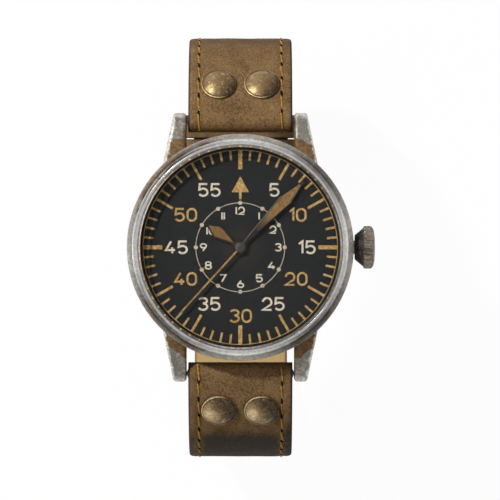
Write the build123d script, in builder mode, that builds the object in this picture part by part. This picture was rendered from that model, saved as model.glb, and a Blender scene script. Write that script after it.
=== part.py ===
from build123d import *
from math import acos, atan2, cos, degrees, hypot, radians, sin, sqrt
import os

# Pilot watch, 42 mm case, on a riveted leather strap that stands as an open loop.
# Millimetres. +Z is the way the dial faces, +Y is 12 o'clock, +X is 3 o'clock.
# The origin is on the case axis, on the surface that the strap stands on.

os.makedirs("parts", exist_ok=True)

# Driving sizes of the case
case_radius = 21.0
back_face_height = 49.3
back_drop = 2.0
middle_height = 6.6
bezel_height = 2.4
crystal_rise = 0.7
lug_gap = 20.0
lug_bar_gap = 2.5
lug_bar_margin = 1.5
lug_tip_width = 2.4
lug_root_width = 4.4
fit_gap = 0.05
running_gap = 0.06
cut_overrun = 1.0

# Heights that the driving sizes give
middle_bottom = back_face_height + back_drop
middle_top = middle_bottom + middle_height
bezel_top = middle_top + bezel_height
crystal_top = bezel_top + crystal_rise

# Bezel and crystal, from the case's edge inwards
bezel_slope_width = 0.95
bezel_bead_inset = 0.15
bezel_bead_width = 0.3
bezel_groove_width = 0.25
bezel_land_width = 0.35
bezel_groove_depth = 0.3
bezel_bead_drop = 0.08
bezel_slope_drop = 0.3
bezel_skirt_height = 0.75
bezel_edge_bevel = 0.12
gasket_wall = 0.15
bezel_slope_top_radius = case_radius - bezel_slope_width
bezel_bead_radius = bezel_slope_top_radius - bezel_bead_inset
bezel_groove_radius = bezel_bead_radius - bezel_bead_width
bezel_land_radius = bezel_groove_radius - bezel_groove_width
crystal_radius = bezel_land_radius - bezel_land_width - gasket_wall
crystal_bevel = 0.28

# Middle case
neck_inner_radius = crystal_radius
neck_ledge = 0.45
case_bore_radius = neck_inner_radius - neck_ledge
neck_wall = 0.5
neck_height = 0.8
case_edge_bevel = 0.5
back_collar_margin = 2.05
back_collar_radius = case_radius - back_collar_margin
back_collar_height = 1.1
lug_bar_reach = case_radius + lug_bar_gap
lug_bar_rise = 1.0
lug_bar_height = middle_bottom + lug_bar_rise
lug_bar_hole_radius = 0.5
lug_bar_hole_depth = 1.2
lug_root_depth = 9.0
lug_root_reach = case_radius - lug_root_depth
lug_join_depth = 5.8
lug_join_reach = case_radius - lug_join_depth
lug_top_drop = 0.5
lug_crest_length = 4.0
lug_crest_drop = 1.55
lug_tip_over_bar = 1.6
lug_tip_under_bar = 1.4
lug_tip_top = lug_bar_height + lug_tip_over_bar
lug_tip_bottom = lug_bar_height - lug_tip_under_bar
lug_heel_drop = 0.55
lug_corner = 0.7
tube_outer_radius = 1.25
tube_bore_radius = 0.62
crown_axis_rise = 3.2
crown_axis_height = middle_bottom + crown_axis_rise

# Spring bars
bar_radius = 0.75
bar_tip_radius = 0.44
bar_bore_radius = 0.5
bar_end_clearance = 0.15
bar_length = lug_gap - 2 * bar_end_clearance
bar_tip_engagement = 0.9
bar_tip_inner = 2.0

# Dial side
dial_clearance = 0.1
dial_radius = case_bore_radius - dial_clearance
dial_thickness = 0.4
dial_hole_radius = 1.15
dial_foot_radius = 0.35
dial_foot_length = 1.0
dial_foot_reach = 10.4
dial_foot_angle = 52.0
crystal_seat_width = 0.35
flange_lean = 0.42
flange_top_inner_radius = crystal_radius - crystal_seat_width
flange_inner_radius = flange_top_inner_radius - flange_lean
flange_height = 1.3
flange_step = 0.35

# Case back
back_margin = 1.1
back_radius = case_radius - back_margin
back_edge_bevel = 0.8
back_clearance = 0.15
back_floor = 0.9
back_collar_wall = 1.35
back_recess_radius = back_collar_radius - back_collar_wall
back_notch_count = 6
back_notch_width = 2.2
back_notch_length = 1.6
back_notch_depth = 0.5
back_notch_inset = 2.0
back_notch_reach = back_radius - back_notch_inset
back_step_inset = 2.5
back_step_radius = back_notch_reach - back_step_inset
back_step_depth = 0.15
seal_inset = 0.2
seal_inner_radius = back_collar_radius + seal_inset
seal_width = 0.45
seal_height = 0.45

# Crown
crown_gap = 0.2
crown_cone_length = 1.55
crown_grip_length = 1.5
crown_dome_length = 0.75
crown_start = case_radius + crown_gap
crown_cone_end = crown_start + crown_cone_length
crown_grip_end = crown_cone_end + crown_grip_length
crown_end = crown_grip_end + crown_dome_length
crown_neck_radius = 2.3
crown_radius = 3.95
crown_end_radius = 3.1
crown_flutes = 22
flute_radius = 0.42
flute_offset = 0.1
crown_tube_room_depth = 1.9
stem_radius = 0.5
stem_inner_end = 7.6
crown_flute_bulge = 0.12
crown_tube_clearance = 0.06
crown_stem_socket = 1.2
crown_seal_depth = 0.5
crown_seal_size = 0.35
tube_reach = 0.7


# Middle case with its four lugs
lug_inner = lug_gap / 2
lug_reach = lug_bar_reach + lug_bar_margin
lug_crest_reach = lug_reach - lug_crest_length
lug_outline = [
    (lug_inner, lug_root_reach),
    (lug_inner, lug_reach),
    (lug_inner + lug_tip_width, lug_reach),
    (lug_inner + lug_root_width, lug_join_reach),
    (lug_inner + lug_root_width, lug_root_reach),
]
lug_top = middle_top - lug_top_drop
lug_bottom = middle_bottom - lug_heel_drop
with BuildPart() as lug:
    with BuildSketch(Plane.YZ):
        with BuildLine():
            Line((lug_root_reach, lug_top), (lug_join_reach, lug_top))
            ThreePointArc(
                (lug_join_reach, lug_top),
                (lug_crest_reach, lug_top - lug_crest_drop),
                (lug_reach, lug_tip_top),
            )
            Line((lug_reach, lug_tip_top), (lug_reach, lug_tip_bottom))
            Line((lug_reach, lug_tip_bottom), (lug_crest_reach, lug_bottom))
            Line((lug_crest_reach, lug_bottom), (lug_join_reach, middle_bottom))
            Line((lug_join_reach, middle_bottom), (lug_root_reach, middle_bottom))
            Line((lug_root_reach, middle_bottom), (lug_root_reach, lug_top))
        make_face()
    extrude(amount=lug_inner + lug_root_width + cut_overrun)
    with BuildSketch(Plane.XY.offset(back_face_height)):
        with BuildLine():
            Polyline(*lug_outline, close=True)
        make_face()
    extrude(amount=middle_top - back_face_height, mode=Mode.INTERSECT)
    tip_corners = lug.edges().filter_by(Axis.Z).group_by(Axis.Y)[-1]
    fillet(tip_corners, radius=lug_corner)
    tip_ends = lug.edges().filter_by(Axis.X).group_by(Axis.Y)[-1]
    fillet(tip_ends, radius=lug_corner)

with BuildPart() as case_middle:
    with BuildSketch(Plane.XY.offset(middle_bottom)):
        Circle(case_radius)
    extrude(amount=middle_height)
    rim = case_middle.edges().filter_by(GeomType.CIRCLE).sort_by(Axis.Z)
    chamfer(rim[0], length=case_edge_bevel)
    with BuildSketch(Plane.XY.offset(middle_top)):
        Circle(neck_inner_radius + neck_wall)
    extrude(amount=neck_height)
    add(lug.part)
    add(lug.part.mirror(Plane.YZ))
    add(lug.part.mirror(Plane.XZ))
    add(lug.part.mirror(Plane.YZ).mirror(Plane.XZ))
    with BuildSketch(Plane.XY.offset(middle_bottom)):
        Circle(case_bore_radius)
    extrude(amount=middle_height, mode=Mode.SUBTRACT)
    with BuildSketch(Plane.XY.offset(middle_top)):
        Circle(neck_inner_radius)
    extrude(amount=neck_height, mode=Mode.SUBTRACT)
    with BuildSketch(Plane.XY.offset(middle_bottom)):
        Circle(back_collar_radius + fit_gap)
    extrude(amount=back_collar_height, mode=Mode.SUBTRACT)
    with BuildSketch(Plane.XY.offset(middle_bottom)):
        Circle(back_radius + back_clearance)
    extrude(amount=-back_drop - cut_overrun, mode=Mode.SUBTRACT)
    with BuildSketch(Plane.YZ.offset(case_bore_radius - cut_overrun)):
        with Locations((0, crown_axis_height)):
            Circle(tube_outer_radius)
    extrude(amount=case_radius - case_bore_radius + 2 * cut_overrun, mode=Mode.SUBTRACT)
    for side in (1, -1):
        with BuildSketch(Plane.YZ.offset(side * lug_inner)):
            with Locations((lug_bar_reach, lug_bar_height), (-lug_bar_reach, lug_bar_height)):
                Circle(lug_bar_hole_radius)
        extrude(amount=side * lug_bar_hole_depth, mode=Mode.SUBTRACT)
case_middle.part.label = "case_middle"
export_step(case_middle.part, "parts/case_middle.step")

# Bezel: wide sloped ring, bright bead, groove and polished land round the crystal
crystal_seat = middle_top + flange_height
with BuildPart() as bezel:
    with BuildSketch(Plane.XZ):
        Polygon(
            (neck_inner_radius + neck_wall + fit_gap, middle_top),
            (case_radius - bezel_edge_bevel, middle_top),
            (case_radius, middle_top + bezel_edge_bevel),
            (case_radius, middle_top + bezel_skirt_height),
            (bezel_slope_top_radius, bezel_top - bezel_slope_drop),
            (bezel_bead_radius, bezel_top - bezel_bead_drop),
            (bezel_groove_radius, bezel_top - bezel_bead_drop),
            (bezel_groove_radius, bezel_top - bezel_groove_depth),
            (bezel_land_radius, bezel_top - bezel_groove_depth),
            (bezel_land_radius, bezel_top),
            (crystal_radius + gasket_wall, bezel_top),
            (crystal_radius + gasket_wall, crystal_seat),
            (neck_inner_radius, crystal_seat),
            (neck_inner_radius, middle_top + neck_height + fit_gap),
            (neck_inner_radius + neck_wall + fit_gap, middle_top + neck_height + fit_gap),
            align=None,
        )
    revolve(axis=Axis.Z)
bezel.part.label = "bezel"
export_step(bezel.part, "parts/bezel.step")

# Flange ring between the dial and the crystal
with BuildPart() as flange_ring:
    with BuildSketch(Plane.XZ):
        Polygon(
            (flange_inner_radius, middle_top),
            (neck_inner_radius - fit_gap, middle_top),
            (neck_inner_radius - fit_gap, crystal_seat),
            (flange_top_inner_radius, crystal_seat),
            (flange_inner_radius, middle_top + flange_step),
            align=None,
        )
    revolve(axis=Axis.Z)
flange_ring.part.label = "flange_ring"
export_step(flange_ring.part, "parts/flange_ring.step")

# Crystal gasket: a foot under the crystal's edge and a thin wall round it
crystal_bottom = crystal_seat + gasket_wall
with BuildPart() as crystal_gasket:
    with BuildSketch(Plane.XZ):
        Polygon(
            (flange_top_inner_radius, crystal_seat),
            (crystal_radius + gasket_wall, crystal_seat),
            (crystal_radius + gasket_wall, bezel_top),
            (crystal_radius, bezel_top),
            (crystal_radius, crystal_bottom),
            (flange_top_inner_radius, crystal_bottom),
            align=None,
        )
    revolve(axis=Axis.Z)
crystal_gasket.part.label = "crystal_gasket"
export_step(crystal_gasket.part, "parts/crystal_gasket.step")

with BuildPart() as crystal:
    with BuildSketch(Plane.XY.offset(crystal_bottom)):
        Circle(crystal_radius)
    extrude(amount=crystal_top - crystal_bottom)
    chamfer(crystal.edges().filter_by(GeomType.CIRCLE).sort_by(Axis.Z)[-1], length=crystal_bevel)
crystal.part.label = "crystal"
export_step(crystal.part, "parts/crystal.step")

# Screw-down case back with six key notches
back_inner_face = back_face_height + back_floor
with BuildPart() as case_back:
    with BuildSketch(Plane.XY.offset(back_face_height)):
        Circle(back_radius)
    extrude(amount=back_drop)
    chamfer(case_back.edges().filter_by(GeomType.CIRCLE).sort_by(Axis.Z)[0], length=back_edge_bevel)
    with BuildSketch(Plane.XY.offset(middle_bottom)):
        Circle(back_collar_radius)
    extrude(amount=back_collar_height - fit_gap)
    with BuildSketch(Plane.XY.offset(back_inner_face)):
        Circle(back_recess_radius)
    extrude(amount=back_drop + back_collar_height, mode=Mode.SUBTRACT)
    with BuildSketch(Plane.XY.offset(middle_bottom)):
        Circle(seal_inner_radius + seal_width + fit_gap)
        Circle(seal_inner_radius - fit_gap, mode=Mode.SUBTRACT)
    extrude(amount=-seal_height - fit_gap, mode=Mode.SUBTRACT)
    with BuildSketch(Plane.XY.offset(back_face_height)):
        Circle(back_step_radius)
    extrude(amount=back_step_depth, mode=Mode.SUBTRACT)
    with BuildSketch(Plane.XY.offset(back_face_height)):
        with PolarLocations(back_notch_reach, back_notch_count):
            Rectangle(back_notch_length, back_notch_width)
    extrude(amount=back_notch_depth, mode=Mode.SUBTRACT)
case_back.part.label = "case_back"
export_step(case_back.part, "parts/case_back.step")

with BuildPart() as back_gasket:
    with BuildSketch(Plane.XY.offset(middle_bottom)):
        Circle(seal_inner_radius + seal_width)
        Circle(seal_inner_radius, mode=Mode.SUBTRACT)
    extrude(amount=-seal_height)
back_gasket.part.label = "back_gasket"
export_step(back_gasket.part, "parts/back_gasket.step")

# Dial with its centre hole and two feet
dial_bottom = middle_top - dial_thickness
with BuildPart() as dial:
    with BuildSketch(Plane.XY.offset(dial_bottom)):
        Circle(dial_radius)
        Circle(dial_hole_radius, mode=Mode.SUBTRACT)
    extrude(amount=dial_thickness)
    with BuildSketch(Plane.XY.offset(dial_bottom)):
        with PolarLocations(dial_foot_reach, 2, start_angle=dial_foot_angle):
            Circle(dial_foot_radius)
    extrude(amount=-dial_foot_length)
dial.part.label = "dial"
export_step(dial.part, "parts/dial.step")

# Hands: hub radii, heights over the dial and outlines along the hand
hour_length = 7.6
hour_wide_reach = 5.05
hour_half_width = 1.4
hour_neck_half_width = 0.4
minute_tip_gap = 1.3
minute_length = dial_radius - minute_tip_gap
minute_wide_reach = 12.0
minute_half_width = 1.18
minute_neck_half_width = 0.3
seconds_tip_gap = 0.6
seconds_length = dial_radius - seconds_tip_gap
seconds_half_width = 0.18
hand_thickness = 0.18
hand_lift = 0.35
hand_step = 0.33
hour_hub_radius = 1.5
minute_hub_radius = 1.3
seconds_hub_radius = 0.95
lume_margin = 0.3
minute_lume_tip_gap = 1.5
lume_thickness = 0.06
hour_lume_start = 1.75
minute_lume_start = 5.6
hour_pipe_radius = 0.95
cannon_radius = 0.62
fourth_arbor_radius = 0.16
hour_hand_angle = 304.6
minute_hand_angle = 43.8
seconds_hand_angle = 222.3
hub_boss_height = 0.3

hour_hand_z = middle_top + hand_lift
minute_hand_z = hour_hand_z + hand_step
seconds_hand_z = minute_hand_z + hand_step


def hand_plane(angle, height):
    """Plane whose local Y runs along a hand that points to a clockwise angle from 12."""
    return Plane.XY.offset(height).rotated((0, 0, -angle))


def pointed_outline(start, wide, tip, start_half, wide_half, tip_half):
    """Outline of a hand that widens from its start and narrows to its tip."""
    return [
        (-start_half, start),
        (-wide_half, wide),
        (-tip_half, tip),
        (tip_half, tip),
        (wide_half, wide),
        (start_half, start),
    ]


tip_half_width = 0.04
minute_slope = (minute_half_width - minute_neck_half_width) / minute_wide_reach
hour_lume_outline = pointed_outline(
    hour_lume_start, hour_wide_reach, hour_length - 2 * lume_margin,
    tip_half_width, hour_half_width - lume_margin, tip_half_width,
)
minute_lume_outline = pointed_outline(
    minute_lume_start, minute_wide_reach, minute_length - minute_lume_tip_gap,
    minute_neck_half_width + minute_slope * minute_lume_start - lume_margin / 2,
    minute_half_width - lume_margin / 2, tip_half_width,
)

with BuildPart() as hour_hand:
    with BuildSketch(hand_plane(hour_hand_angle, hour_hand_z)):
        Polygon(
            *pointed_outline(
                0, hour_wide_reach, hour_length,
                hour_neck_half_width, hour_half_width, tip_half_width,
            ),
            align=None,
        )
        Circle(hour_hub_radius)
        Circle(hour_pipe_radius, mode=Mode.SUBTRACT)
        Polygon(*hour_lume_outline, align=None, mode=Mode.SUBTRACT)
    extrude(amount=hand_thickness)
hour_hand.part.label = "hour_hand"
export_step(hour_hand.part, "parts/hour_hand.step")

with BuildPart() as hour_hand_lume:
    with BuildSketch(hand_plane(hour_hand_angle, hour_hand_z)):
        Polygon(*hour_lume_outline, align=None)
    extrude(amount=hand_thickness - lume_thickness / 2)
hour_hand_lume.part.label = "hour_hand_lume"
export_step(hour_hand_lume.part, "parts/hour_hand_lume.step")

with BuildPart() as minute_hand:
    with BuildSketch(hand_plane(minute_hand_angle, minute_hand_z)):
        Polygon(
            *pointed_outline(
                0, minute_wide_reach, minute_length,
                minute_neck_half_width, minute_half_width, tip_half_width,
            ),
            align=None,
        )
        Circle(minute_hub_radius)
        Circle(cannon_radius, mode=Mode.SUBTRACT)
        Polygon(*minute_lume_outline, align=None, mode=Mode.SUBTRACT)
    extrude(amount=hand_thickness)
minute_hand.part.label = "minute_hand"
export_step(minute_hand.part, "parts/minute_hand.step")

with BuildPart() as minute_hand_lume:
    with BuildSketch(hand_plane(minute_hand_angle, minute_hand_z)):
        Polygon(*minute_lume_outline, align=None)
    extrude(amount=hand_thickness - lume_thickness / 2)
minute_hand_lume.part.label = "minute_hand_lume"
export_step(minute_hand_lume.part, "parts/minute_hand_lume.step")

with BuildPart() as seconds_hand:
    with BuildSketch(hand_plane(seconds_hand_angle, seconds_hand_z)):
        Circle(seconds_hub_radius)
        with Locations((0, seconds_length / 2)):
            Rectangle(2 * seconds_half_width, seconds_length)
        Circle(fourth_arbor_radius, mode=Mode.SUBTRACT)
    extrude(amount=hand_thickness)
    with BuildSketch(Plane.XY.offset(seconds_hand_z + hand_thickness)):
        Circle(seconds_hub_radius)
        Circle(fourth_arbor_radius, mode=Mode.SUBTRACT)
    extrude(amount=hub_boss_height - hand_thickness)
seconds_hand.part.label = "seconds_hand"
export_step(seconds_hand.part, "parts/seconds_hand.step")

# Crown: cone, fluted grip and domed end, bored for the tube and the stem
with BuildPart() as crown:
    with BuildSketch(Plane.XY.offset(crown_axis_height)):
        with BuildLine():
            Polyline(
                (crown_start, 0),
                (crown_start, crown_neck_radius),
                (crown_cone_end, crown_radius),
                (crown_grip_end, crown_radius),
            )
            ThreePointArc(
                (crown_grip_end, crown_radius),
                (
                    (crown_grip_end + crown_end) / 2 + crown_flute_bulge,
                    (crown_radius + crown_end_radius) / 2 + crown_flute_bulge,
                ),
                (crown_end, crown_end_radius),
            )
            Polyline((crown_end, crown_end_radius), (crown_end, 0), (crown_start, 0))
        make_face()
    revolve(axis=Axis((0, 0, crown_axis_height), (1, 0, 0)))
    with BuildSketch(Plane.YZ.offset(crown_start)):
        with Locations((0, crown_axis_height)):
            Circle(tube_outer_radius + crown_tube_clearance)
    extrude(amount=crown_tube_room_depth, mode=Mode.SUBTRACT)
    with BuildSketch(Plane.YZ.offset(crown_start + crown_seal_depth)):
        with Locations((0, crown_axis_height)):
            Circle(tube_outer_radius + crown_tube_clearance + crown_seal_size)
    extrude(amount=crown_seal_size, mode=Mode.SUBTRACT)
    with BuildSketch(Plane.YZ.offset(crown_start + crown_tube_room_depth)):
        with Locations((0, crown_axis_height)):
            Circle(stem_radius)
    extrude(amount=crown_stem_socket, mode=Mode.SUBTRACT)
    with BuildSketch(Plane.YZ.offset(crown_start)):
        with Locations((0, crown_axis_height)):
            with PolarLocations(crown_radius + flute_offset, crown_flutes):
                Circle(flute_radius)
    extrude(amount=crown_end - crown_start, mode=Mode.SUBTRACT)
crown.part.label = "crown"
export_step(crown.part, "parts/crown.step")

# Crown tube pressed into the case wall, with the crown's sealing ring on it
with BuildPart() as crown_tube:
    with BuildSketch(Plane.YZ.offset(case_bore_radius + fit_gap)):
        with Locations((0, crown_axis_height)):
            Circle(tube_outer_radius)
            Circle(tube_bore_radius, mode=Mode.SUBTRACT)
    extrude(amount=crown_start + tube_reach - case_bore_radius - fit_gap)
crown_tube.part.label = "crown_tube"
export_step(crown_tube.part, "parts/crown_tube.step")

with BuildPart() as winding_stem:
    with BuildSketch(Plane.YZ.offset(stem_inner_end)):
        with Locations((0, crown_axis_height)):
            Circle(stem_radius)
    extrude(amount=crown_start + crown_tube_room_depth + crown_stem_socket - stem_inner_end)
winding_stem.part.label = "winding_stem"
export_step(winding_stem.part, "parts/winding_stem.step")

# Spring bars between the lugs: hollow bodies and their four spring-loaded tips
with BuildPart() as spring_bars:
    with BuildSketch(Plane.YZ.offset(-bar_length / 2)):
        with Locations((lug_bar_reach, lug_bar_height), (-lug_bar_reach, lug_bar_height)):
            Circle(bar_radius)
    extrude(amount=bar_length)
    for side in (1, -1):
        with BuildSketch(Plane.YZ.offset(side * bar_length / 2)):
            with Locations((lug_bar_reach, lug_bar_height), (-lug_bar_reach, lug_bar_height)):
                Circle(bar_bore_radius)
        extrude(amount=-side * bar_tip_inner, mode=Mode.SUBTRACT)
spring_bars.part.label = "spring_bars"
export_step(spring_bars.part, "parts/spring_bars.step")

with BuildPart() as spring_bar_tips:
    for side in (1, -1):
        with BuildSketch(Plane.YZ.offset(side * (bar_length / 2 - bar_tip_inner))):
            with Locations((lug_bar_reach, lug_bar_height), (-lug_bar_reach, lug_bar_height)):
                Circle(bar_tip_radius)
        extrude(amount=side * (bar_tip_inner + (lug_gap - bar_length) / 2 + bar_tip_engagement))
spring_bar_tips.part.label = "spring_bar_tips"
export_step(spring_bar_tips.part, "parts/spring_bar_tips.step")

# Strap: two halves that hang from the spring bars and curl into a standing loop.
# Each half is drawn in its own side plane: local X runs outwards from the case, local Y is up.
strap_half_width = 9.7
strap_end_half_width = 9.1
lining_inset = 0.1
strap_spread = 16.4
strap_reach = lug_bar_reach + strap_spread
strap_shoulder_radius = 22.0
strap_slope = 18.0
strap_thickness = 2.8
leather_thickness = 1.6
fold_radius = 2.1
shoulder_span = lug_bar_reach - (strap_reach - strap_shoulder_radius)
shoulder_rise = strap_shoulder_radius - fold_radius - shoulder_span * sin(radians(strap_slope))
strap_shoulder_height = lug_bar_height - shoulder_rise / cos(radians(strap_slope))
fold_bore_clearance = 0.08
fold_cut_angle = 45.0
long_side_run = 11.2
long_curl_radius = strap_shoulder_height - long_side_run
long_end_reach = 24.0
long_tip_length = 7.0
long_tip_half_width = 3.2
hole_radius = 0.9
hole_count = 6
hole_pitch = 6.0
hole_start = -14.0
short_flat_height = 7.5
short_side_run = 7.7
short_curl_radius = strap_shoulder_height - short_flat_height - short_side_run
short_end_reach = 13.6
slot_half_width = 1.3
slot_length = 4.2

side_of_long = Plane(origin=(0, 0, 0), x_dir=(0, -1, 0), z_dir=(-1, 0, 0))
side_of_short = Plane.YZ
shoulder_centre = Vector(strap_reach - strap_shoulder_radius, strap_shoulder_height)
bar_centre = Vector(lug_bar_reach, lug_bar_height)


def polar(centre, radius, angle):
    """Point at an angle in degrees on a circle in a strap's side plane."""
    turn = radians(angle)
    return Vector(centre.X + radius * cos(turn), centre.Y + radius * sin(turn))


def band_below(curl_radius, flat_height, end_reach, depth):
    """Points of a strap layer's lower run: shoulder foot, curl top, middle and end, flat end."""
    curl_centre = Vector(strap_reach - curl_radius, flat_height + curl_radius)
    return (
        Vector(strap_reach - depth, strap_shoulder_height),
        Vector(strap_reach - depth, flat_height + curl_radius),
        polar(curl_centre, curl_radius - depth, -45),
        Vector(strap_reach - curl_radius, flat_height + depth),
        Vector(end_reach, flat_height + depth),
    )


def shoulder_point(depth, angle):
    """Point on the shoulder arc at a depth below the outer face."""
    return polar(shoulder_centre, strap_shoulder_radius - depth, angle)


def layer_lines(curl_radius, flat_height, end_reach, depth, top_angle):
    """Edges from a layer's flat end, round the curl and up the shoulder to the given angle."""
    foot, curl_top, curl_middle, curl_end, flat_end = band_below(
        curl_radius, flat_height, end_reach, depth
    )
    edges = [
        Edge.make_line(flat_end, curl_end),
        Edge.make_three_point_arc(curl_end, curl_middle, curl_top),
        Edge.make_line(curl_top, foot),
        Edge.make_three_point_arc(
            foot, shoulder_point(depth, top_angle / 2), shoulder_point(depth, top_angle)
        ),
    ]
    return edges


fold_top = polar(bar_centre, fold_radius, 90 - strap_slope)
fold_face = polar(bar_centre, fold_radius, 180)
fold_foot = polar(bar_centre, fold_radius, 270)
shoulder_top_angle = 90 - strap_slope


def leather_face(curl_radius, flat_height, end_reach):
    """Side view of the outer leather: it wraps the spring bar and thins to one layer."""
    outer = layer_lines(curl_radius, flat_height, end_reach, 0, shoulder_top_angle)
    middle = layer_lines(curl_radius, flat_height, end_reach, leather_thickness, fold_cut_angle)
    inner_start = shoulder_point(strap_thickness, fold_cut_angle)
    turn = radians(fold_cut_angle)
    edges = outer + middle
    edges.append(Edge.make_line(outer[-1] @ 1, fold_top))
    edges.append(Edge.make_three_point_arc(fold_top, fold_face, fold_foot))
    edges.append(Edge.make_tangent_arc(inner_start, Vector(-sin(turn), cos(turn)), fold_foot))
    edges.append(Edge.make_line(inner_start, middle[-1] @ 1))
    edges.append(Edge.make_line(outer[0] @ 0, middle[0] @ 0))
    return edges


def lining_face(curl_radius, flat_height, end_reach):
    """Side view of the lining under the outer leather."""
    upper = layer_lines(curl_radius, flat_height, end_reach, leather_thickness, fold_cut_angle)
    lower = layer_lines(curl_radius, flat_height, end_reach, strap_thickness, fold_cut_angle)
    edges = upper + lower
    edges.append(Edge.make_line(upper[0] @ 0, lower[0] @ 0))
    edges.append(Edge.make_line(upper[-1] @ 1, lower[-1] @ 1))
    return edges


def taper_outline(inset):
    """Front view of a strap half: full width down to the shoulder's foot, then narrowing."""
    top = lug_bar_height + 2 * fold_radius
    return [
        (-strap_end_half_width + inset, -cut_overrun),
        (-strap_half_width + inset, strap_shoulder_height),
        (-strap_half_width + inset, top),
        (strap_half_width - inset, top),
        (strap_half_width - inset, strap_shoulder_height),
        (strap_end_half_width - inset, -cut_overrun),
    ]


# Rivets: where they stand on the shoulder
rivet_distance = 6.9
rivet_reach = lug_bar_reach + rivet_distance
rivet_half_spacing = 4.0
rivet_head_radius = 3.3
rivet_head_height = 1.15
rivet_lip_height = 0.25
rivet_post_radius = 0.8
rivet_base_radius = 2.4
rivet_base_thickness = 0.5
rivet_angle = degrees(acos((rivet_reach - shoulder_centre.X) / strap_shoulder_radius))
rivet_seat_gap = 0.14

# A rivet's flat base clears the inner face, an arc from the shoulder's cut angle to the fold
arc_start = shoulder_point(strap_thickness, fold_cut_angle)
arc_span = fold_foot - arc_start
arc_turn = radians(fold_cut_angle)
arc_rise = arc_span.X * cos(arc_turn) + arc_span.Y * sin(arc_turn)
arc_radius = arc_span.length ** 2 / (2 * arc_rise)
arc_centre_reach = strap_shoulder_radius - strap_thickness + arc_radius
rivet_lean = radians(rivet_angle - fold_cut_angle)
base_side = rivet_base_radius + arc_centre_reach * sin(rivet_lean)
base_reach = arc_centre_reach * cos(rivet_lean) + sqrt(arc_radius ** 2 - base_side ** 2)
rivet_grip = strap_shoulder_radius - base_reach + rivet_seat_gap


def rivet_plane(side_plane):
    """Plane on the outer face at the rivets, its normal pointing out of the leather."""
    local = shoulder_point(0, rivet_angle)
    origin = side_plane.from_local_coords((local.X, local.Y, 0))
    turn = radians(rivet_angle)
    tip = side_plane.from_local_coords((local.X + cos(turn), local.Y + sin(turn), 0))
    return Plane(origin=origin, x_dir=(1, 0, 0), z_dir=tip - origin)


tip_corner = long_end_reach - long_tip_length
tip_cut_height = 2 * strap_thickness
buckle_bar_height = short_flat_height + strap_thickness / 2
buckle_bar_reach = short_end_reach + strap_thickness / 2


def strap_blank(side_plane, face_edges, inset):
    """The side view's edges as a face, given width and taper."""
    with BuildPart(mode=Mode.PRIVATE) as blank:
        with BuildSketch(side_plane):
            with BuildLine():
                add(face_edges)
            make_face()
        extrude(amount=strap_half_width - inset, both=True)
        with BuildSketch(Plane.XZ):
            Polygon(*taper_outline(inset), align=None)
        extrude(amount=strap_reach + cut_overrun, both=True, mode=Mode.INTERSECT)
    return blank.part


def tip_waste():
    """What is cut from the long half's end to point it, on both sides."""
    with BuildPart(mode=Mode.PRIVATE) as waste:
        with BuildSketch(Plane.XY):
            with BuildLine():
                side_start = (strap_end_half_width + cut_overrun, tip_corner)
                side_end = (strap_end_half_width + cut_overrun, long_end_reach + cut_overrun)
                tip_start = (long_tip_half_width, long_end_reach + cut_overrun)
                tip_end = (long_tip_half_width, long_end_reach)
                edge_start = (strap_end_half_width, tip_corner)
                Polyline(edge_start, side_start, side_end, tip_start, tip_end)
                RadiusArc(tip_end, edge_start, long_tip_length + long_tip_half_width)
            make_face()
            mirror(about=Plane.YZ)
        extrude(amount=tip_cut_height)
    return waste.part


def post_holes(side_plane):
    """Bores for the two rivet posts through a strap half."""
    with BuildPart(mode=Mode.PRIVATE) as bores:
        with BuildSketch(rivet_plane(side_plane)):
            with Locations((rivet_half_spacing, 0), (-rivet_half_spacing, 0)):
                Circle(rivet_post_radius + fit_gap)
        extrude(amount=rivet_grip + cut_overrun, both=True)
    return bores.part


# Long half, at 6 o'clock: outer leather round the bar, and the lining under it
with BuildPart() as strap_long:
    add(strap_blank(side_of_long, leather_face(long_curl_radius, 0, -long_end_reach), 0))
    with BuildSketch(side_of_long):
        with Locations((lug_bar_reach, lug_bar_height)):
            Circle(bar_radius + fold_bore_clearance)
    extrude(amount=lug_gap, both=True, mode=Mode.SUBTRACT)
    add(tip_waste(), mode=Mode.SUBTRACT)
    add(post_holes(side_of_long), mode=Mode.SUBTRACT)
    with BuildSketch(Plane.XY):
        with Locations(*[(0, hole_start + hole_pitch * index) for index in range(hole_count)]):
            Circle(hole_radius)
    extrude(amount=tip_cut_height, mode=Mode.SUBTRACT)
strap_long.part.label = "strap_long"
export_step(strap_long.part, "parts/strap_long.step")

with BuildPart() as strap_long_lining:
    add(strap_blank(
        side_of_long, lining_face(long_curl_radius, 0, -long_end_reach), lining_inset
    ))
    add(tip_waste(), mode=Mode.SUBTRACT)
    with BuildSketch(Plane.XY):
        with Locations(*[(0, hole_start + hole_pitch * index) for index in range(hole_count)]):
            Circle(hole_radius)
    extrude(amount=tip_cut_height, mode=Mode.SUBTRACT)
strap_long_lining.part.label = "strap_long_lining"
export_step(strap_long_lining.part, "parts/strap_long_lining.step")


def buckle_slot():
    """Slot at the short half's end where the buckle's tongue turns."""
    with BuildPart(mode=Mode.PRIVATE) as slot:
        with BuildSketch(Plane.XY.offset(short_flat_height - cut_overrun)):
            with Locations((0, short_end_reach)):
                Rectangle(2 * slot_half_width, 2 * slot_length)
        extrude(amount=strap_thickness + 2 * cut_overrun)
    return slot.part


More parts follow.
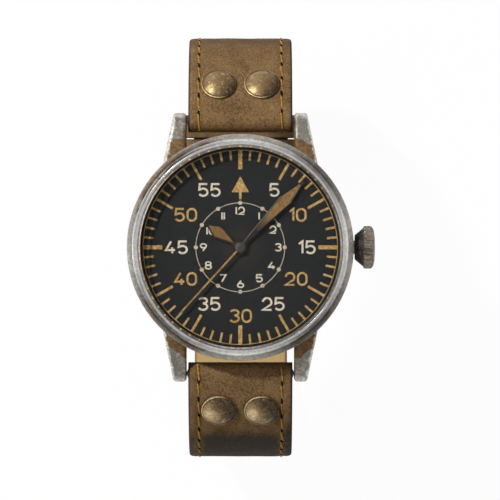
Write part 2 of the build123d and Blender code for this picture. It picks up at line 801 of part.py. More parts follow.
# Short half, at 12 o'clock: its end wraps the buckle's bar
end_loop_radius = strap_thickness / 2
with BuildPart() as strap_short:
    add(strap_blank(
        side_of_short, leather_face(short_curl_radius, short_flat_height, buckle_bar_reach), 0
    ))
    with BuildSketch(side_of_short):
        with Locations((buckle_bar_reach, buckle_bar_height)):
            Circle(end_loop_radius)
    extrude(amount=strap_end_half_width, both=True)
    with BuildSketch(side_of_short):
        with Locations((buckle_bar_reach, buckle_bar_height)):
            Circle(bar_radius + fold_bore_clearance)
    extrude(amount=lug_gap, both=True, mode=Mode.SUBTRACT)
    with BuildSketch(side_of_short):
        with Locations((lug_bar_reach, lug_bar_height)):
            Circle(bar_radius + fold_bore_clearance)
    extrude(amount=lug_gap, both=True, mode=Mode.SUBTRACT)
    add(post_holes(side_of_short), mode=Mode.SUBTRACT)
    add(buckle_slot(), mode=Mode.SUBTRACT)
strap_short.part.label = "strap_short"
export_step(strap_short.part, "parts/strap_short.step")

short_lining_end = buckle_bar_reach + end_loop_radius + fit_gap
with BuildPart() as strap_short_lining:
    add(strap_blank(
        side_of_short, lining_face(short_curl_radius, short_flat_height, short_lining_end),
        lining_inset,
    ))
    add(buckle_slot(), mode=Mode.SUBTRACT)
strap_short_lining.part.label = "strap_short_lining"
export_step(strap_short_lining.part, "parts/strap_short_lining.step")


# Rivets: domed caps with a rim lip outside, posts with flat bases inside
with BuildPart() as rivet_dome:
    with BuildSketch(Plane.XZ):
        with BuildLine():
            Polyline(
                (0, rivet_head_height),
                (0, 0),
                (rivet_head_radius, 0),
                (rivet_head_radius, rivet_lip_height),
                (rivet_head_radius - rivet_lip_height, rivet_lip_height),
            )
            TangentArc(
                (0, rivet_head_height),
                (rivet_head_radius - rivet_lip_height, rivet_lip_height),
                tangent=(1, 0),
            )
        make_face()
    revolve(axis=Axis.Z)

for half_name, side_plane in (("long", side_of_long), ("short", side_of_short)):
    seat = rivet_plane(side_plane)
    with BuildPart() as rivet_caps:
        for shift in (rivet_half_spacing, -rivet_half_spacing):
            with Locations(seat.location * Location((shift, 0, 0))):
                add(rivet_dome.part)
    rivet_caps.part.label = "rivet_caps_" + half_name
    export_step(rivet_caps.part, "parts/rivet_caps_" + half_name + ".step")
    with BuildPart() as rivet_posts:
        with BuildSketch(seat):
            with Locations((rivet_half_spacing, 0), (-rivet_half_spacing, 0)):
                Circle(rivet_post_radius)
        extrude(amount=-rivet_grip)
        with BuildSketch(seat.offset(-rivet_grip)):
            with Locations((rivet_half_spacing, 0), (-rivet_half_spacing, 0)):
                Circle(rivet_base_radius)
        extrude(amount=-rivet_base_thickness)
    rivet_posts.part.label = "rivet_posts_" + half_name
    export_step(rivet_posts.part, "parts/rivet_posts_" + half_name + ".step")

# Keepers: leather loops on the short half, with room outside it for the long half
keeper_thickness = 1.2
keeper_gap = 0.15
keeper_side_gap = 0.25
keeper_room = 3.0
keeper_width = 4.0
keeper_reach = 19.2
keeper_angle = -84.0
keeper_half_turn = 6.5

keeper_inner_half_width = strap_half_width + keeper_side_gap
keeper_top = short_flat_height + strap_thickness + keeper_gap
keeper_bottom = short_flat_height - keeper_room
with BuildPart() as keeper_fixed:
    with BuildSketch(Plane.XZ.offset(-keeper_reach)):
        with BuildLine():
            Polyline(
                (-keeper_inner_half_width - keeper_thickness, keeper_bottom - keeper_thickness),
                (keeper_inner_half_width + keeper_thickness, keeper_bottom - keeper_thickness),
                (keeper_inner_half_width + keeper_thickness, keeper_top + keeper_thickness),
                (-keeper_inner_half_width - keeper_thickness, keeper_top + keeper_thickness),
                close=True,
            )
        make_face()
        fillet(vertices(), radius=keeper_thickness)
        with BuildLine():
            Polyline(
                (-keeper_inner_half_width, keeper_bottom),
                (keeper_inner_half_width, keeper_bottom),
                (keeper_inner_half_width, keeper_top),
                (-keeper_inner_half_width, keeper_top),
                close=True,
            )
        make_face(mode=Mode.SUBTRACT)
    extrude(amount=keeper_width / 2, both=True)
keeper_fixed.part.label = "keeper_fixed"
export_step(keeper_fixed.part, "parts/keeper_fixed.step")

keeper_centre = Vector(strap_reach - short_curl_radius, short_flat_height + short_curl_radius)
window_inner = short_curl_radius - strap_thickness - keeper_gap
window_outer = short_curl_radius + keeper_room


def keeper_wedge(radius, half_turn):
    """Triangle that spans an angle about the curl's centre."""
    return [
        (keeper_centre.X, keeper_centre.Y),
        tuple(polar(keeper_centre, radius, keeper_angle - half_turn))[:2],
        tuple(polar(keeper_centre, radius, keeper_angle + half_turn))[:2],
    ]


with BuildPart() as keeper_free:
    with BuildSketch(side_of_short):
        with Locations((keeper_centre.X, keeper_centre.Y)):
            Circle(window_outer + keeper_thickness)
            Circle(window_inner - keeper_thickness, mode=Mode.SUBTRACT)
        Polygon(*keeper_wedge(2 * window_outer, keeper_half_turn), align=None, mode=Mode.INTERSECT)
    extrude(amount=keeper_inner_half_width + keeper_thickness, both=True)
    with BuildSketch(side_of_short):
        with Locations((keeper_centre.X, keeper_centre.Y)):
            Circle(window_outer)
            Circle(window_inner, mode=Mode.SUBTRACT)
        Polygon(
            *keeper_wedge(2 * window_outer, 2 * keeper_half_turn), align=None, mode=Mode.INTERSECT
        )
    extrude(amount=keeper_inner_half_width, both=True, mode=Mode.SUBTRACT)
keeper_free.part.label = "keeper_free"
export_step(keeper_free.part, "parts/keeper_free.step")

# Pin buckle at the short half's end, leaning down towards the long half
buckle_tilt = 18.6
buckle_arm_gap = 0.3
buckle_arm_width = 1.7
buckle_thickness = 1.8
buckle_ear_radius = 1.4
buckle_inner_length = 9.6
buckle_cross_width = 2.3
buckle_corner = 3.0
buckle_bar_clearance = 0.04
tongue_half_width = 0.95
tongue_thickness = 0.9
tongue_eye_radius = 1.25
tongue_gap = 0.12
tongue_overhang = 0.4

tilt = radians(buckle_tilt)
buckle_plane = Plane(
    origin=(0, buckle_bar_reach, buckle_bar_height),
    x_dir=(1, 0, 0),
    z_dir=(0, sin(tilt), -cos(tilt)),
)
buckle_inner_half = strap_end_half_width + buckle_arm_gap
buckle_outer_half = buckle_inner_half + buckle_arm_width
buckle_length = buckle_inner_length + buckle_cross_width
with BuildPart() as buckle_frame:
    with BuildSketch(buckle_plane):
        with Locations((0, buckle_length / 2)):
            Rectangle(2 * buckle_outer_half, buckle_length)
        fillet(vertices().group_by(Axis.Y)[-1], radius=buckle_corner)
        with Locations((0, buckle_inner_length / 2)):
            Rectangle(2 * buckle_inner_half, buckle_inner_length, mode=Mode.SUBTRACT)
    extrude(amount=buckle_thickness / 2, both=True)
    for side in (1, -1):
        with BuildSketch(Plane.YZ.offset(side * buckle_inner_half)):
            with Locations((buckle_bar_reach, buckle_bar_height)):
                Circle(buckle_ear_radius)
        extrude(amount=side * buckle_arm_width)
    with BuildSketch(Plane.YZ.offset(-buckle_outer_half + buckle_arm_width / 2)):
        with Locations((buckle_bar_reach, buckle_bar_height)):
            Circle(bar_radius + buckle_bar_clearance)
    extrude(amount=2 * buckle_outer_half - buckle_arm_width, mode=Mode.SUBTRACT)
buckle_frame.part.label = "buckle_frame"
export_step(buckle_frame.part, "parts/buckle_frame.step")

with BuildPart() as buckle_bar:
    with BuildSketch(Plane.YZ.offset(-buckle_outer_half + buckle_arm_width / 2)):
        with Locations((buckle_bar_reach, buckle_bar_height)):
            Circle(bar_radius)
    extrude(amount=2 * buckle_outer_half - buckle_arm_width)
buckle_bar.part.label = "buckle_bar"
export_step(buckle_bar.part, "parts/buckle_bar.step")

# Tongue: an eye round the bar and a finger under the frame's cross bar
side_of_buckle = Plane(origin=buckle_plane.origin, x_dir=buckle_plane.y_dir, z_dir=(1, 0, 0))
finger_drop = buckle_thickness / 2 + tongue_gap
finger_tip = buckle_length + tongue_overhang
with BuildPart() as buckle_tongue:
    with BuildSketch(side_of_buckle):
        with BuildLine():
            Polyline(
                (0, tongue_eye_radius),
                (finger_tip - buckle_cross_width, finger_drop + tongue_thickness),
                (finger_tip, finger_drop + tongue_thickness),
                (finger_tip + tongue_overhang, finger_drop),
                (finger_tip - buckle_cross_width - tongue_overhang, finger_drop),
                (tongue_eye_radius, 0),
                (0, 0),
                close=True,
            )
        make_face()
        Circle(tongue_eye_radius)
        Circle(bar_radius + running_gap, mode=Mode.SUBTRACT)
    extrude(amount=tongue_half_width, both=True)
buckle_tongue.part.label = "buckle_tongue"
export_step(buckle_tongue.part, "parts/buckle_tongue.step")


# Movement: a hand-wound calibre with central seconds, held in a ring under the dial.
# It is drawn from the dial side down to the bridges; its wheels share one tooth form.
movement_radius = 12.8
ring_case_gap = 0.3
ring_outer_radius = case_bore_radius - ring_case_gap
ring_height = 4.4
ring_clearance = 0.1
plate_thickness = 1.3
plate_drop = 0.6
train_height = 2.2
bridge_thickness = 0.7
works_pocket_radius = 5.2
works_pocket_depth = 0.8
centre_bore_radius = 0.95
pivot_radius = 0.16
arbor_radius = 0.3
jewel_radius = 0.6
pillar_radius = 0.75
screw_head_radius = 0.65
screw_head_height = 0.3
screw_shank_radius = 0.3
screw_length = 1.6
wheel_thickness = 0.15
crossing_share = 0.62
hub_share = 0.3
arm_width_share = 0.25
crossing_steps = 4
train_arms = 5
fourth_arms = 4
balance_arms = 3
tooth_tip_height = 0.85
tooth_root_depth = 1.1
tooth_root_share = 0.3
tooth_tip_share = 0.12
escape_radius = 2.2
escape_root_share = 0.72
escape_phase_share = 0.3
escape_tooth_shares = ((escape_root_share, 0), (escape_root_share, 0.45), (1, 0.8), (1, 0.9))
fork_arm_width = 0.22
fork_lever_length = 1.5
pallet_reach_x = 2.12
pallet_reach_y = 1.15
pallet_bridge_thickness = 0.3
pallet_bridge_lift = 1.45
pallet_foot_reach = 1.9
pallet_foot_radius = 0.45
hairspring_half_turns = 8
hairspring_inner_radius = 0.55
hairspring_step = 0.3
hairspring_width = 0.06
barrel_drum_share = 0.93
barrel_wall = 0.15
barrel_arbor_radius = 0.5
mainspring_inner_radius = 2.2
keyless_thickness = 0.2
winding_pinion_slots = 14
winding_slot_depth = 0.5
winding_slot_width = 0.2
works_post_radius = 0.3
cannon_tooth_height = 0.45
works_wheel_lift = 0.6
ring_stem_room = 0.8
click_distance = 4.9
click_direction = 110.0
click_radius = 0.6
click_gap = 0.1
click_half_width = 0.25

plate_top = dial_bottom - plate_drop
plate_bottom = plate_top - plate_thickness
bridge_top = plate_bottom - train_height
bridge_bottom = bridge_top - bridge_thickness

# Tooth counts and modules: 64/8 and 60/8 turn the seconds 60 times an hour,
# 10/30 and 8/32 turn the hours once in 12
centre_teeth = 64
third_pinion_teeth = 8
third_teeth = 60
fourth_pinion_teeth = 8
fourth_teeth = 70
escape_pinion_teeth = 7
barrel_teeth = 72
centre_pinion_teeth = 10
cannon_teeth = 10
minute_wheel_teeth = 30
minute_pinion_teeth = 8
hour_wheel_teeth = 32
ratchet_teeth = 48
crown_wheel_teeth = 30
escape_teeth = 15
upper_train_module = 0.12
fourth_module = 0.1
barrel_module = 0.15
works_module = 0.13
keyless_module = 0.155

third_distance = upper_train_module * (centre_teeth + third_pinion_teeth) / 2
third_module = 2 * third_distance / (third_teeth + fourth_pinion_teeth)
escape_distance = fourth_module * (fourth_teeth + escape_pinion_teeth) / 2
barrel_distance = barrel_module * (barrel_teeth + centre_pinion_teeth) / 2
works_distance = works_module * (cannon_teeth + minute_wheel_teeth) / 2
ratchet_distance = keyless_module * (ratchet_teeth + crown_wheel_teeth) / 2

third_direction = 260.0
escape_direction = 195.0
barrel_direction = 50.0
works_direction = 0.0
balance_direction = 215.0
balance_distance = 8.0
crown_wheel_direction = -36.2
fork_distance = 2.54
cock_foot_direction = 257.0
cock_foot_distance = 11.0


def place(distance, direction, start=Vector(0, 0)):
    """Point at a distance and a direction in degrees, in plan."""
    return polar(start, distance, direction)


third_at = place(third_distance, third_direction)
escape_at = place(escape_distance, escape_direction)
barrel_at = place(barrel_distance, barrel_direction)
works_at = place(works_distance, works_direction)
balance_at = place(balance_distance, balance_direction)
crown_wheel_at = place(ratchet_distance, crown_wheel_direction, barrel_at)
fork_direction = degrees(atan2(balance_at.Y - escape_at.Y, balance_at.X - escape_at.X))
fork_at = place(fork_distance, fork_direction, escape_at)
cock_foot_at = place(cock_foot_distance, cock_foot_direction)


def gear_points(teeth, module, phase, centre=Vector(0, 0)):
    """Outline of a gear with straight-sided teeth and backlash; phase is in tooth pitches."""
    tip = module * (teeth / 2 + tooth_tip_height)
    root = module * (teeth / 2 - tooth_root_depth)
    pitch = 360 / teeth
    points = []
    for index in range(teeth):
        middle = (index + phase) * pitch
        for radius, share in (
            (root, -tooth_root_share), (tip, -tooth_tip_share), (tip, tooth_tip_share), (root, tooth_root_share)
        ):
            spot = polar(centre, radius, middle + share * pitch)
            points.append((spot.X, spot.Y))
    return points


def meshing_phase(teeth, direction):
    """Phase that puts a tooth gap of a wheel in line with a direction in degrees."""
    return direction / (360 / teeth) + 1 / 2


def tooth_phase(teeth, direction):
    """Phase that puts a tooth of a pinion in line with a direction in degrees."""
    return direction / (360 / teeth)


def crossed_disc(wheel_radius, arms):
    """Sector cut-outs that leave a wheel's rim, hub and arms, as a list of outlines."""
    outer = crossing_share * wheel_radius + arbor_radius
    inner = hub_share * wheel_radius + arbor_radius
    cuts = []
    pitch = 360 / arms
    for index in range(arms):
        start = index * pitch + arm_width_share * pitch / 2
        step = (1 - arm_width_share) * pitch / crossing_steps
        spread = [start + count * step for count in range(crossing_steps + 1)]
        ring = [polar(Vector(0, 0), outer, angle) for angle in spread]
        ring += [polar(Vector(0, 0), inner, angle) for angle in reversed(spread)]
        cuts.append([(spot.X, spot.Y) for spot in ring])
    return cuts


def wheel_solid(at, height, teeth, module, phase, thickness=wheel_thickness, arms=0):
    """A toothed disc at a place in plan, its lower face at a height."""
    with BuildPart(mode=Mode.PRIVATE) as disc:
        with BuildSketch(Plane.XY.offset(height)):
            with Locations((at.X, at.Y)):
                Polygon(*gear_points(teeth, module, phase), align=None)
                for cut in crossed_disc(module * teeth / 2, arms) if arms else []:
                    Polygon(*cut, align=None, mode=Mode.SUBTRACT)
        extrude(amount=thickness)
    return disc.part


def post_solid(at, bottom, top, radius, bore=0):
    """A round post, hollow where a bore is given."""
    with BuildPart(mode=Mode.PRIVATE) as post:
        with BuildSketch(Plane.XY.offset(bottom)):
            with Locations((at.X, at.Y)):
                Circle(radius)
                if bore:
                    Circle(bore, mode=Mode.SUBTRACT)
        extrude(amount=top - bottom)
    return post.part


# Levels in the train, from the bridges up to the plate
train_clearance = 0.1
pinion_height = 0.5
fourth_lift = 0.075
third_lift = 0.4
balance_lift = 0.65
barrel_lift = 0.6
centre_drop = 0.4
hairspring_lift = 0.15
barrel_height = 1.1
barrel_teeth_lift = 0.3
fourth_level = bridge_top + fourth_lift
third_level = bridge_top + third_lift
balance_level = bridge_top + balance_lift
barrel_level = bridge_top + barrel_lift
centre_level = plate_bottom - centre_drop
escape_level = centre_level - train_clearance - wheel_thickness
hairspring_level = bridge_top + hairspring_lift
ratchet_level = bridge_bottom - keyless_thickness
pallet_bridge_top = bridge_top + pallet_bridge_lift
axis_origin = Vector(0, 0)


def bridge_region(low, high, cut_centre=None, cut_radius=0):
    """The part of the movement's disc between two lines square to the barrel's direction."""
    span = 2 * movement_radius
    with BuildSketch(mode=Mode.PRIVATE) as region:
        Circle(movement_radius - ring_clearance)
        with Locations(Location((0, 0, 0), (0, 0, barrel_direction))):
            with Locations(((low + high) / 2, 0)):
                Rectangle(high - low, span, mode=Mode.INTERSECT)
        if cut_centre is not None:
            with Locations((cut_centre.X, cut_centre.Y)):
                Circle(cut_radius, mode=Mode.SUBTRACT)
    return region.sketch


bridge_split = 1.15
bridge_gap = 0.2
train_bridge_edge = -5.0
balance_radius = 3.4
balance_rim = 0.45
cock_head_radius = 1.6

pillar_reach = 11.6
short_pillar_reach = 10.9
barrel_pillar_angles = (95.0, 20.0)
train_pillar_angles = (142.0, 157.0)
short_pillar_angle = 300.0
barrel_pillars = [place(pillar_reach, angle) for angle in barrel_pillar_angles]
train_pillars = [place(pillar_reach, angle) for angle in train_pillar_angles]
train_pillars.append(place(short_pillar_reach, short_pillar_angle))
winding_pinion_radius = 1.75
winding_pinion_start = 9.9
winding_pinion_length = 1.3
sliding_pinion_radius = 1.0
sliding_pinion_start = 8.3
sliding_pinion_length = 1.4
pinion_room_start = winding_pinion_start - ring_clearance
pinion_room_half = 1.65


def pinion_room():
    """Space for the winding pinion in the plate and the barrel bridge."""
    with BuildPart(mode=Mode.PRIVATE) as room:
        with BuildSketch(Plane.YZ.offset(pinion_room_start)):
            with Locations((0, crown_axis_height)):
                Rectangle(2 * pinion_room_half, 2 * (winding_pinion_radius + ring_clearance))
        extrude(amount=movement_radius)
    return room.part


# Plate and bridges
pocket_floor = plate_top - works_pocket_depth
with BuildPart() as main_plate:
    with BuildSketch(Plane.XY.offset(plate_bottom)):
        Circle(movement_radius)
    extrude(amount=plate_thickness)
    with BuildSketch(Plane.XY.offset(pocket_floor)):
        with Locations((works_at.X / 2, 0)):
            Circle(works_pocket_radius)
    extrude(amount=works_pocket_depth, mode=Mode.SUBTRACT)
    with BuildSketch(Plane.XY.offset(plate_bottom)):
        Circle(centre_bore_radius)
        with PolarLocations(dial_foot_reach, 2, start_angle=dial_foot_angle):
            Circle(dial_foot_radius + running_gap)
        with Locations(*[(at.X, at.Y) for at in (third_at, escape_at, balance_at, fork_at, barrel_at)]):
            Circle(pivot_radius + running_gap)
    extrude(amount=plate_thickness, mode=Mode.SUBTRACT)
    with BuildSketch(Plane.XY.offset(pocket_floor)):
        with Locations((works_at.X, works_at.Y)):
            Circle(works_post_radius)
    extrude(amount=works_pocket_depth)
    add(pinion_room(), mode=Mode.SUBTRACT)
main_plate.part.label = "main_plate"
export_step(main_plate.part, "parts/main_plate.step")


def bridge_solid(region, pillars, pivots):
    """A bridge plate with its pillars up to the main plate, jewel seats and screw holes."""
    with BuildPart(mode=Mode.PRIVATE) as bridge:
        with BuildSketch(Plane.XY.offset(bridge_bottom)):
            add(region)
        extrude(amount=bridge_thickness)
        with BuildSketch(Plane.XY.offset(bridge_bottom)):
            with Locations(*[(at.X, at.Y) for at in pillars]):
                Circle(pillar_radius)
        extrude(amount=bridge_thickness + train_height)
        with BuildSketch(Plane.XY.offset(bridge_bottom)):
            with Locations(*[(at.X, at.Y) for at in pillars]):
                Circle(screw_shank_radius + fit_gap)
            with Locations(*[(at.X, at.Y) for at in pivots]):
                Circle(jewel_radius)
        extrude(amount=screw_length + fit_gap, mode=Mode.SUBTRACT)
        add(pinion_room(), mode=Mode.SUBTRACT)
    return bridge.part


train_bridge_solid = bridge_solid(
    bridge_region(train_bridge_edge, bridge_split - bridge_gap, balance_at, balance_radius),
    train_pillars, [axis_origin, third_at, escape_at],
)
with BuildPart() as train_bridge:
    add(train_bridge_solid)
train_bridge.part.label = "train_bridge"
export_step(train_bridge.part, "parts/train_bridge.step")

with BuildPart() as barrel_bridge:
    add(bridge_solid(bridge_region(bridge_split, movement_radius), barrel_pillars, [barrel_at]))
barrel_bridge.part.label = "barrel_bridge"
export_step(barrel_bridge.part, "parts/barrel_bridge.step")

cock_direction = degrees(atan2(cock_foot_at.Y - balance_at.Y, cock_foot_at.X - balance_at.X))
cock_length = hypot(cock_foot_at.X - balance_at.X, cock_foot_at.Y - balance_at.Y)
with BuildSketch() as cock_outline:
    with Locations(Location((balance_at.X, balance_at.Y, 0), (0, 0, cock_direction))):
        with Locations((cock_length / 2, 0)):
            SlotCenterToCenter(cock_length, 2 * cock_head_radius)
with BuildPart() as balance_cock:
    add(bridge_solid(cock_outline.sketch, [cock_foot_at], [balance_at]))
balance_cock.part.label = "balance_cock"
export_step(balance_cock.part, "parts/balance_cock.step")

# Going train: centre wheel, third wheel and fourth wheel, each with its pinion
with BuildPart() as centre_wheel:
    add(wheel_solid(axis_origin, centre_level, centre_teeth, upper_train_module,
                    meshing_phase(centre_teeth, third_direction), arms=train_arms))
    add(wheel_solid(axis_origin, barrel_level + 2 * train_clearance, centre_pinion_teeth,
                    barrel_module, tooth_phase(centre_pinion_teeth, barrel_direction),
                    thickness=pinion_height + train_clearance))
    add(post_solid(axis_origin, barrel_level + 2 * train_clearance, pocket_floor, cannon_radius - fit_gap))
    add(post_solid(axis_origin, pocket_floor, seconds_hand_z - train_clearance, arbor_radius))
    add(post_solid(axis_origin, bridge_bottom, crystal_bottom, pivot_radius + running_gap),
        mode=Mode.SUBTRACT)
centre_wheel.part.label = "centre_wheel"
export_step(centre_wheel.part, "parts/centre_wheel.step")

with BuildPart() as third_wheel:
    with Locations((third_at.X, third_at.Y)):
        add(wheel_solid(axis_origin, third_level, third_teeth, third_module,
                        meshing_phase(third_teeth, third_direction + 180), arms=train_arms))
        add(wheel_solid(axis_origin, centre_level - train_clearance, third_pinion_teeth,
                        upper_train_module, tooth_phase(third_pinion_teeth, third_direction + 180),
                        thickness=wheel_thickness + 2 * train_clearance))
        add(post_solid(axis_origin, bridge_top, plate_bottom - fit_gap, arbor_radius))
        add(post_solid(axis_origin, bridge_bottom + fit_gap, bridge_top, pivot_radius))
        add(post_solid(axis_origin, plate_bottom - fit_gap, plate_bottom + plate_thickness / 2, pivot_radius))
third_wheel.part.label = "third_wheel"
export_step(third_wheel.part, "parts/third_wheel.step")

fourth_pinion_level = third_level - train_clearance / 2
with BuildPart() as fourth_wheel:
    add(wheel_solid(axis_origin, fourth_level, fourth_teeth, fourth_module,
                    meshing_phase(fourth_teeth, escape_direction), arms=fourth_arms))
    add(wheel_solid(axis_origin, fourth_pinion_level, fourth_pinion_teeth, third_module,
                    tooth_phase(fourth_pinion_teeth, third_direction),
                    thickness=wheel_thickness + train_clearance))
    add(post_solid(axis_origin, fourth_level, barrel_level, arbor_radius))
    add(post_solid(axis_origin, bridge_bottom + fit_gap, seconds_hand_z + hub_boss_height, pivot_radius - fit_gap / 2))
fourth_wheel.part.label = "fourth_wheel"
export_step(fourth_wheel.part, "parts/fourth_wheel.step")

# Escapement: escape wheel, pallet fork with its bridge, and the balance with its spring
with BuildPart() as escape_wheel:
    with BuildSketch(Plane.XY.offset(escape_level)):
        with Locations((escape_at.X, escape_at.Y)):
            Polygon(*[
                tuple(polar(
                    Vector(0, 0), radius_share * escape_radius,
                    (index + step + escape_phase_share) * 360 / escape_teeth,
                ))[:2]
                for index in range(escape_teeth)
                for radius_share, step in escape_tooth_shares
            ], align=None)
    extrude(amount=wheel_thickness)
    with Locations((escape_at.X, escape_at.Y)):
        add(wheel_solid(axis_origin, fourth_level - fit_gap / 2, escape_pinion_teeth, fourth_module,
                        tooth_phase(escape_pinion_teeth, escape_direction + 180),
                        thickness=wheel_thickness + train_clearance))
        add(post_solid(axis_origin, fourth_level, plate_bottom - fit_gap, pivot_radius + fit_gap))
        add(post_solid(axis_origin, bridge_bottom + fit_gap, plate_bottom + plate_thickness / 2, pivot_radius))
escape_wheel.part.label = "escape_wheel"
export_step(escape_wheel.part, "parts/escape_wheel.step")

with BuildPart() as pallet_fork:
    with BuildSketch(Plane(origin=(escape_at.X, escape_at.Y, escape_level), x_dir=(
            cos(radians(fork_direction)), sin(radians(fork_direction)), 0), z_dir=(0, 0, 1))):
        with BuildLine():
            Polyline(
                (fork_distance - fork_arm_width, 0),
                (pallet_reach_x, pallet_reach_y - fork_arm_width),
                (pallet_reach_x + fork_arm_width / 2, pallet_reach_y + fork_arm_width),
                (fork_distance + fork_arm_width, fork_arm_width / 2),
                (fork_distance + fork_lever_length, fork_arm_width / 2),
                (fork_distance + fork_lever_length, -fork_arm_width / 2),
                (fork_distance + fork_arm_width, -fork_arm_width / 2),
                (pallet_reach_x + fork_arm_width / 2, -pallet_reach_y - fork_arm_width),
                (pallet_reach_x, -pallet_reach_y + fork_arm_width),
                close=True,
            )
        make_face()
    extrude(amount=wheel_thickness)
    add(post_solid(fork_at, pallet_bridge_top - pallet_bridge_thickness + fit_gap,
                   plate_bottom + plate_thickness / 2, pivot_radius))
pallet_fork.part.label = "pallet_fork"
export_step(pallet_fork.part, "parts/pallet_fork.step")

with BuildPart() as pallet_bridge:
    with BuildSketch(Plane.XY.offset(pallet_bridge_top - pallet_bridge_thickness)):
        with Locations(Location((fork_at.X, fork_at.Y, 0), (0, 0, fork_direction + 90))):
            SlotCenterToCenter(2 * pallet_foot_reach, 2 * pallet_foot_radius)
    extrude(amount=pallet_bridge_thickness)
    for side in (1, -1):
        foot = place(side * pallet_foot_reach, fork_direction + 90, fork_at)
        with BuildSketch(Plane.XY.offset(pallet_bridge_top)):
            with Locations((foot.X, foot.Y)):
                Circle(pallet_foot_radius)
        extrude(amount=plate_bottom - pallet_bridge_top)
    with BuildSketch(Plane.XY.offset(pallet_bridge_top - pallet_bridge_thickness)):
        with Locations((fork_at.X, fork_at.Y)):
            Circle(pivot_radius + running_gap)
    extrude(amount=pallet_bridge_thickness, mode=Mode.SUBTRACT)
pallet_bridge.part.label = "pallet_bridge"
export_step(pallet_bridge.part, "parts/pallet_bridge.step")

with BuildPart() as balance_wheel:
    with BuildSketch(Plane.XY.offset(balance_level)):
        with Locations((balance_at.X, balance_at.Y)):
            Circle(balance_radius)
            Circle(balance_radius - balance_rim, mode=Mode.SUBTRACT)
            with PolarLocations(0, balance_arms):
                with Locations(((balance_radius - balance_rim / 2) / 2, 0)):
                    Rectangle(balance_radius - balance_rim / 2, balance_rim)
            Circle(2 * arbor_radius)
    extrude(amount=2 * wheel_thickness)
    with Locations((balance_at.X, balance_at.Y)):
        add(post_solid(axis_origin, bridge_bottom + fit_gap, plate_bottom + plate_thickness / 2, pivot_radius))
        add(post_solid(axis_origin, hairspring_level + fit_gap, escape_level, arbor_radius))
balance_wheel.part.label = "balance_wheel"
export_step(balance_wheel.part, "parts/balance_wheel.step")

# Hairspring: a spiral of half turns, each with its centre shifted, round a collet
with BuildPart() as hairspring:
    with BuildLine() as coil:
        for half_turn in range(hairspring_half_turns):
            radius = hairspring_inner_radius + half_turn * hairspring_step / 2
            sign = 1 if half_turn % 2 == 0 else -1
            centre_x = balance_at.X + (0 if half_turn % 2 == 0 else hairspring_step / 2)
            start = (centre_x + sign * radius, balance_at.Y, hairspring_level)
            middle = (centre_x, balance_at.Y + sign * radius, hairspring_level)
            end = (centre_x - sign * radius, balance_at.Y, hairspring_level)
            ThreePointArc(start, middle, end)
    with BuildSketch(Plane(origin=coil.line @ 0, x_dir=(1, 0, 0), z_dir=(0, 1, 0))):
        Rectangle(hairspring_width, wheel_thickness)
    sweep(path=coil.line)
hairspring.part.label = "hairspring"
export_step(hairspring.part, "parts/hairspring.step")

# Mainspring barrel on its arbor, with the ratchet wheel below the bridge
drum_radius = barrel_drum_share * barrel_module * barrel_teeth / 2
with BuildPart() as mainspring_barrel:
    with Locations((barrel_at.X, barrel_at.Y)):
        add(wheel_solid(axis_origin, barrel_level + barrel_teeth_lift, barrel_teeth, barrel_module,
                        meshing_phase(barrel_teeth, barrel_direction + 180), thickness=2 * wheel_thickness))
        add(post_solid(axis_origin, barrel_level, barrel_level + barrel_height, drum_radius))
        add(
            post_solid(axis_origin, barrel_level + barrel_wall, barrel_level + barrel_height - barrel_wall,
                       drum_radius - barrel_wall),
            mode=Mode.SUBTRACT,
        )
        add(
            post_solid(axis_origin, bridge_bottom, plate_bottom, barrel_arbor_radius + running_gap),
            mode=Mode.SUBTRACT,
        )
mainspring_barrel.part.label = "mainspring_barrel"
export_step(mainspring_barrel.part, "parts/mainspring_barrel.step")

with BuildPart() as mainspring:
    with BuildSketch(Plane.XY.offset(barrel_level + barrel_wall + fit_gap)):
        with Locations((barrel_at.X, barrel_at.Y)):
            Circle(drum_radius - barrel_wall - running_gap)
            Circle(mainspring_inner_radius, mode=Mode.SUBTRACT)
    extrude(amount=barrel_height - 2 * barrel_wall - 2 * fit_gap)
mainspring.part.label = "mainspring"
export_step(mainspring.part, "parts/mainspring.step")

with BuildPart() as barrel_arbor:
    with Locations((barrel_at.X, barrel_at.Y)):
        add(post_solid(axis_origin, ratchet_level, plate_bottom - fit_gap, barrel_arbor_radius))
        add(post_solid(axis_origin, plate_bottom - fit_gap, plate_bottom + plate_thickness / 2, pivot_radius))
        add(post_solid(
            axis_origin, barrel_level + 2 * barrel_wall, barrel_level + barrel_height - 2 * barrel_wall,
            2 * barrel_arbor_radius,
        ))
barrel_arbor.part.label = "barrel_arbor"
export_step(barrel_arbor.part, "parts/barrel_arbor.step")

with BuildPart() as ratchet_wheel:
    with Locations((barrel_at.X, barrel_at.Y)):
        add(wheel_solid(axis_origin, ratchet_level, ratchet_teeth, keyless_module,
                        meshing_phase(ratchet_teeth, crown_wheel_direction), thickness=keyless_thickness))
        add(
            post_solid(axis_origin, ratchet_level, bridge_bottom, barrel_arbor_radius + fit_gap),
            mode=Mode.SUBTRACT,
        )
ratchet_wheel.part.label = "ratchet_wheel"
export_step(ratchet_wheel.part, "parts/ratchet_wheel.step")

with BuildPart() as crown_wheel:
    with Locations((crown_wheel_at.X, crown_wheel_at.Y)):
        add(wheel_solid(axis_origin, ratchet_level, crown_wheel_teeth, keyless_module,
                        tooth_phase(crown_wheel_teeth, crown_wheel_direction + 180),
                        thickness=keyless_thickness))
        add(
            post_solid(axis_origin, ratchet_level, bridge_bottom, screw_shank_radius + running_gap),
            mode=Mode.SUBTRACT,
        )
crown_wheel.part.label = "crown_wheel"
export_step(crown_wheel.part, "parts/crown_wheel.step")

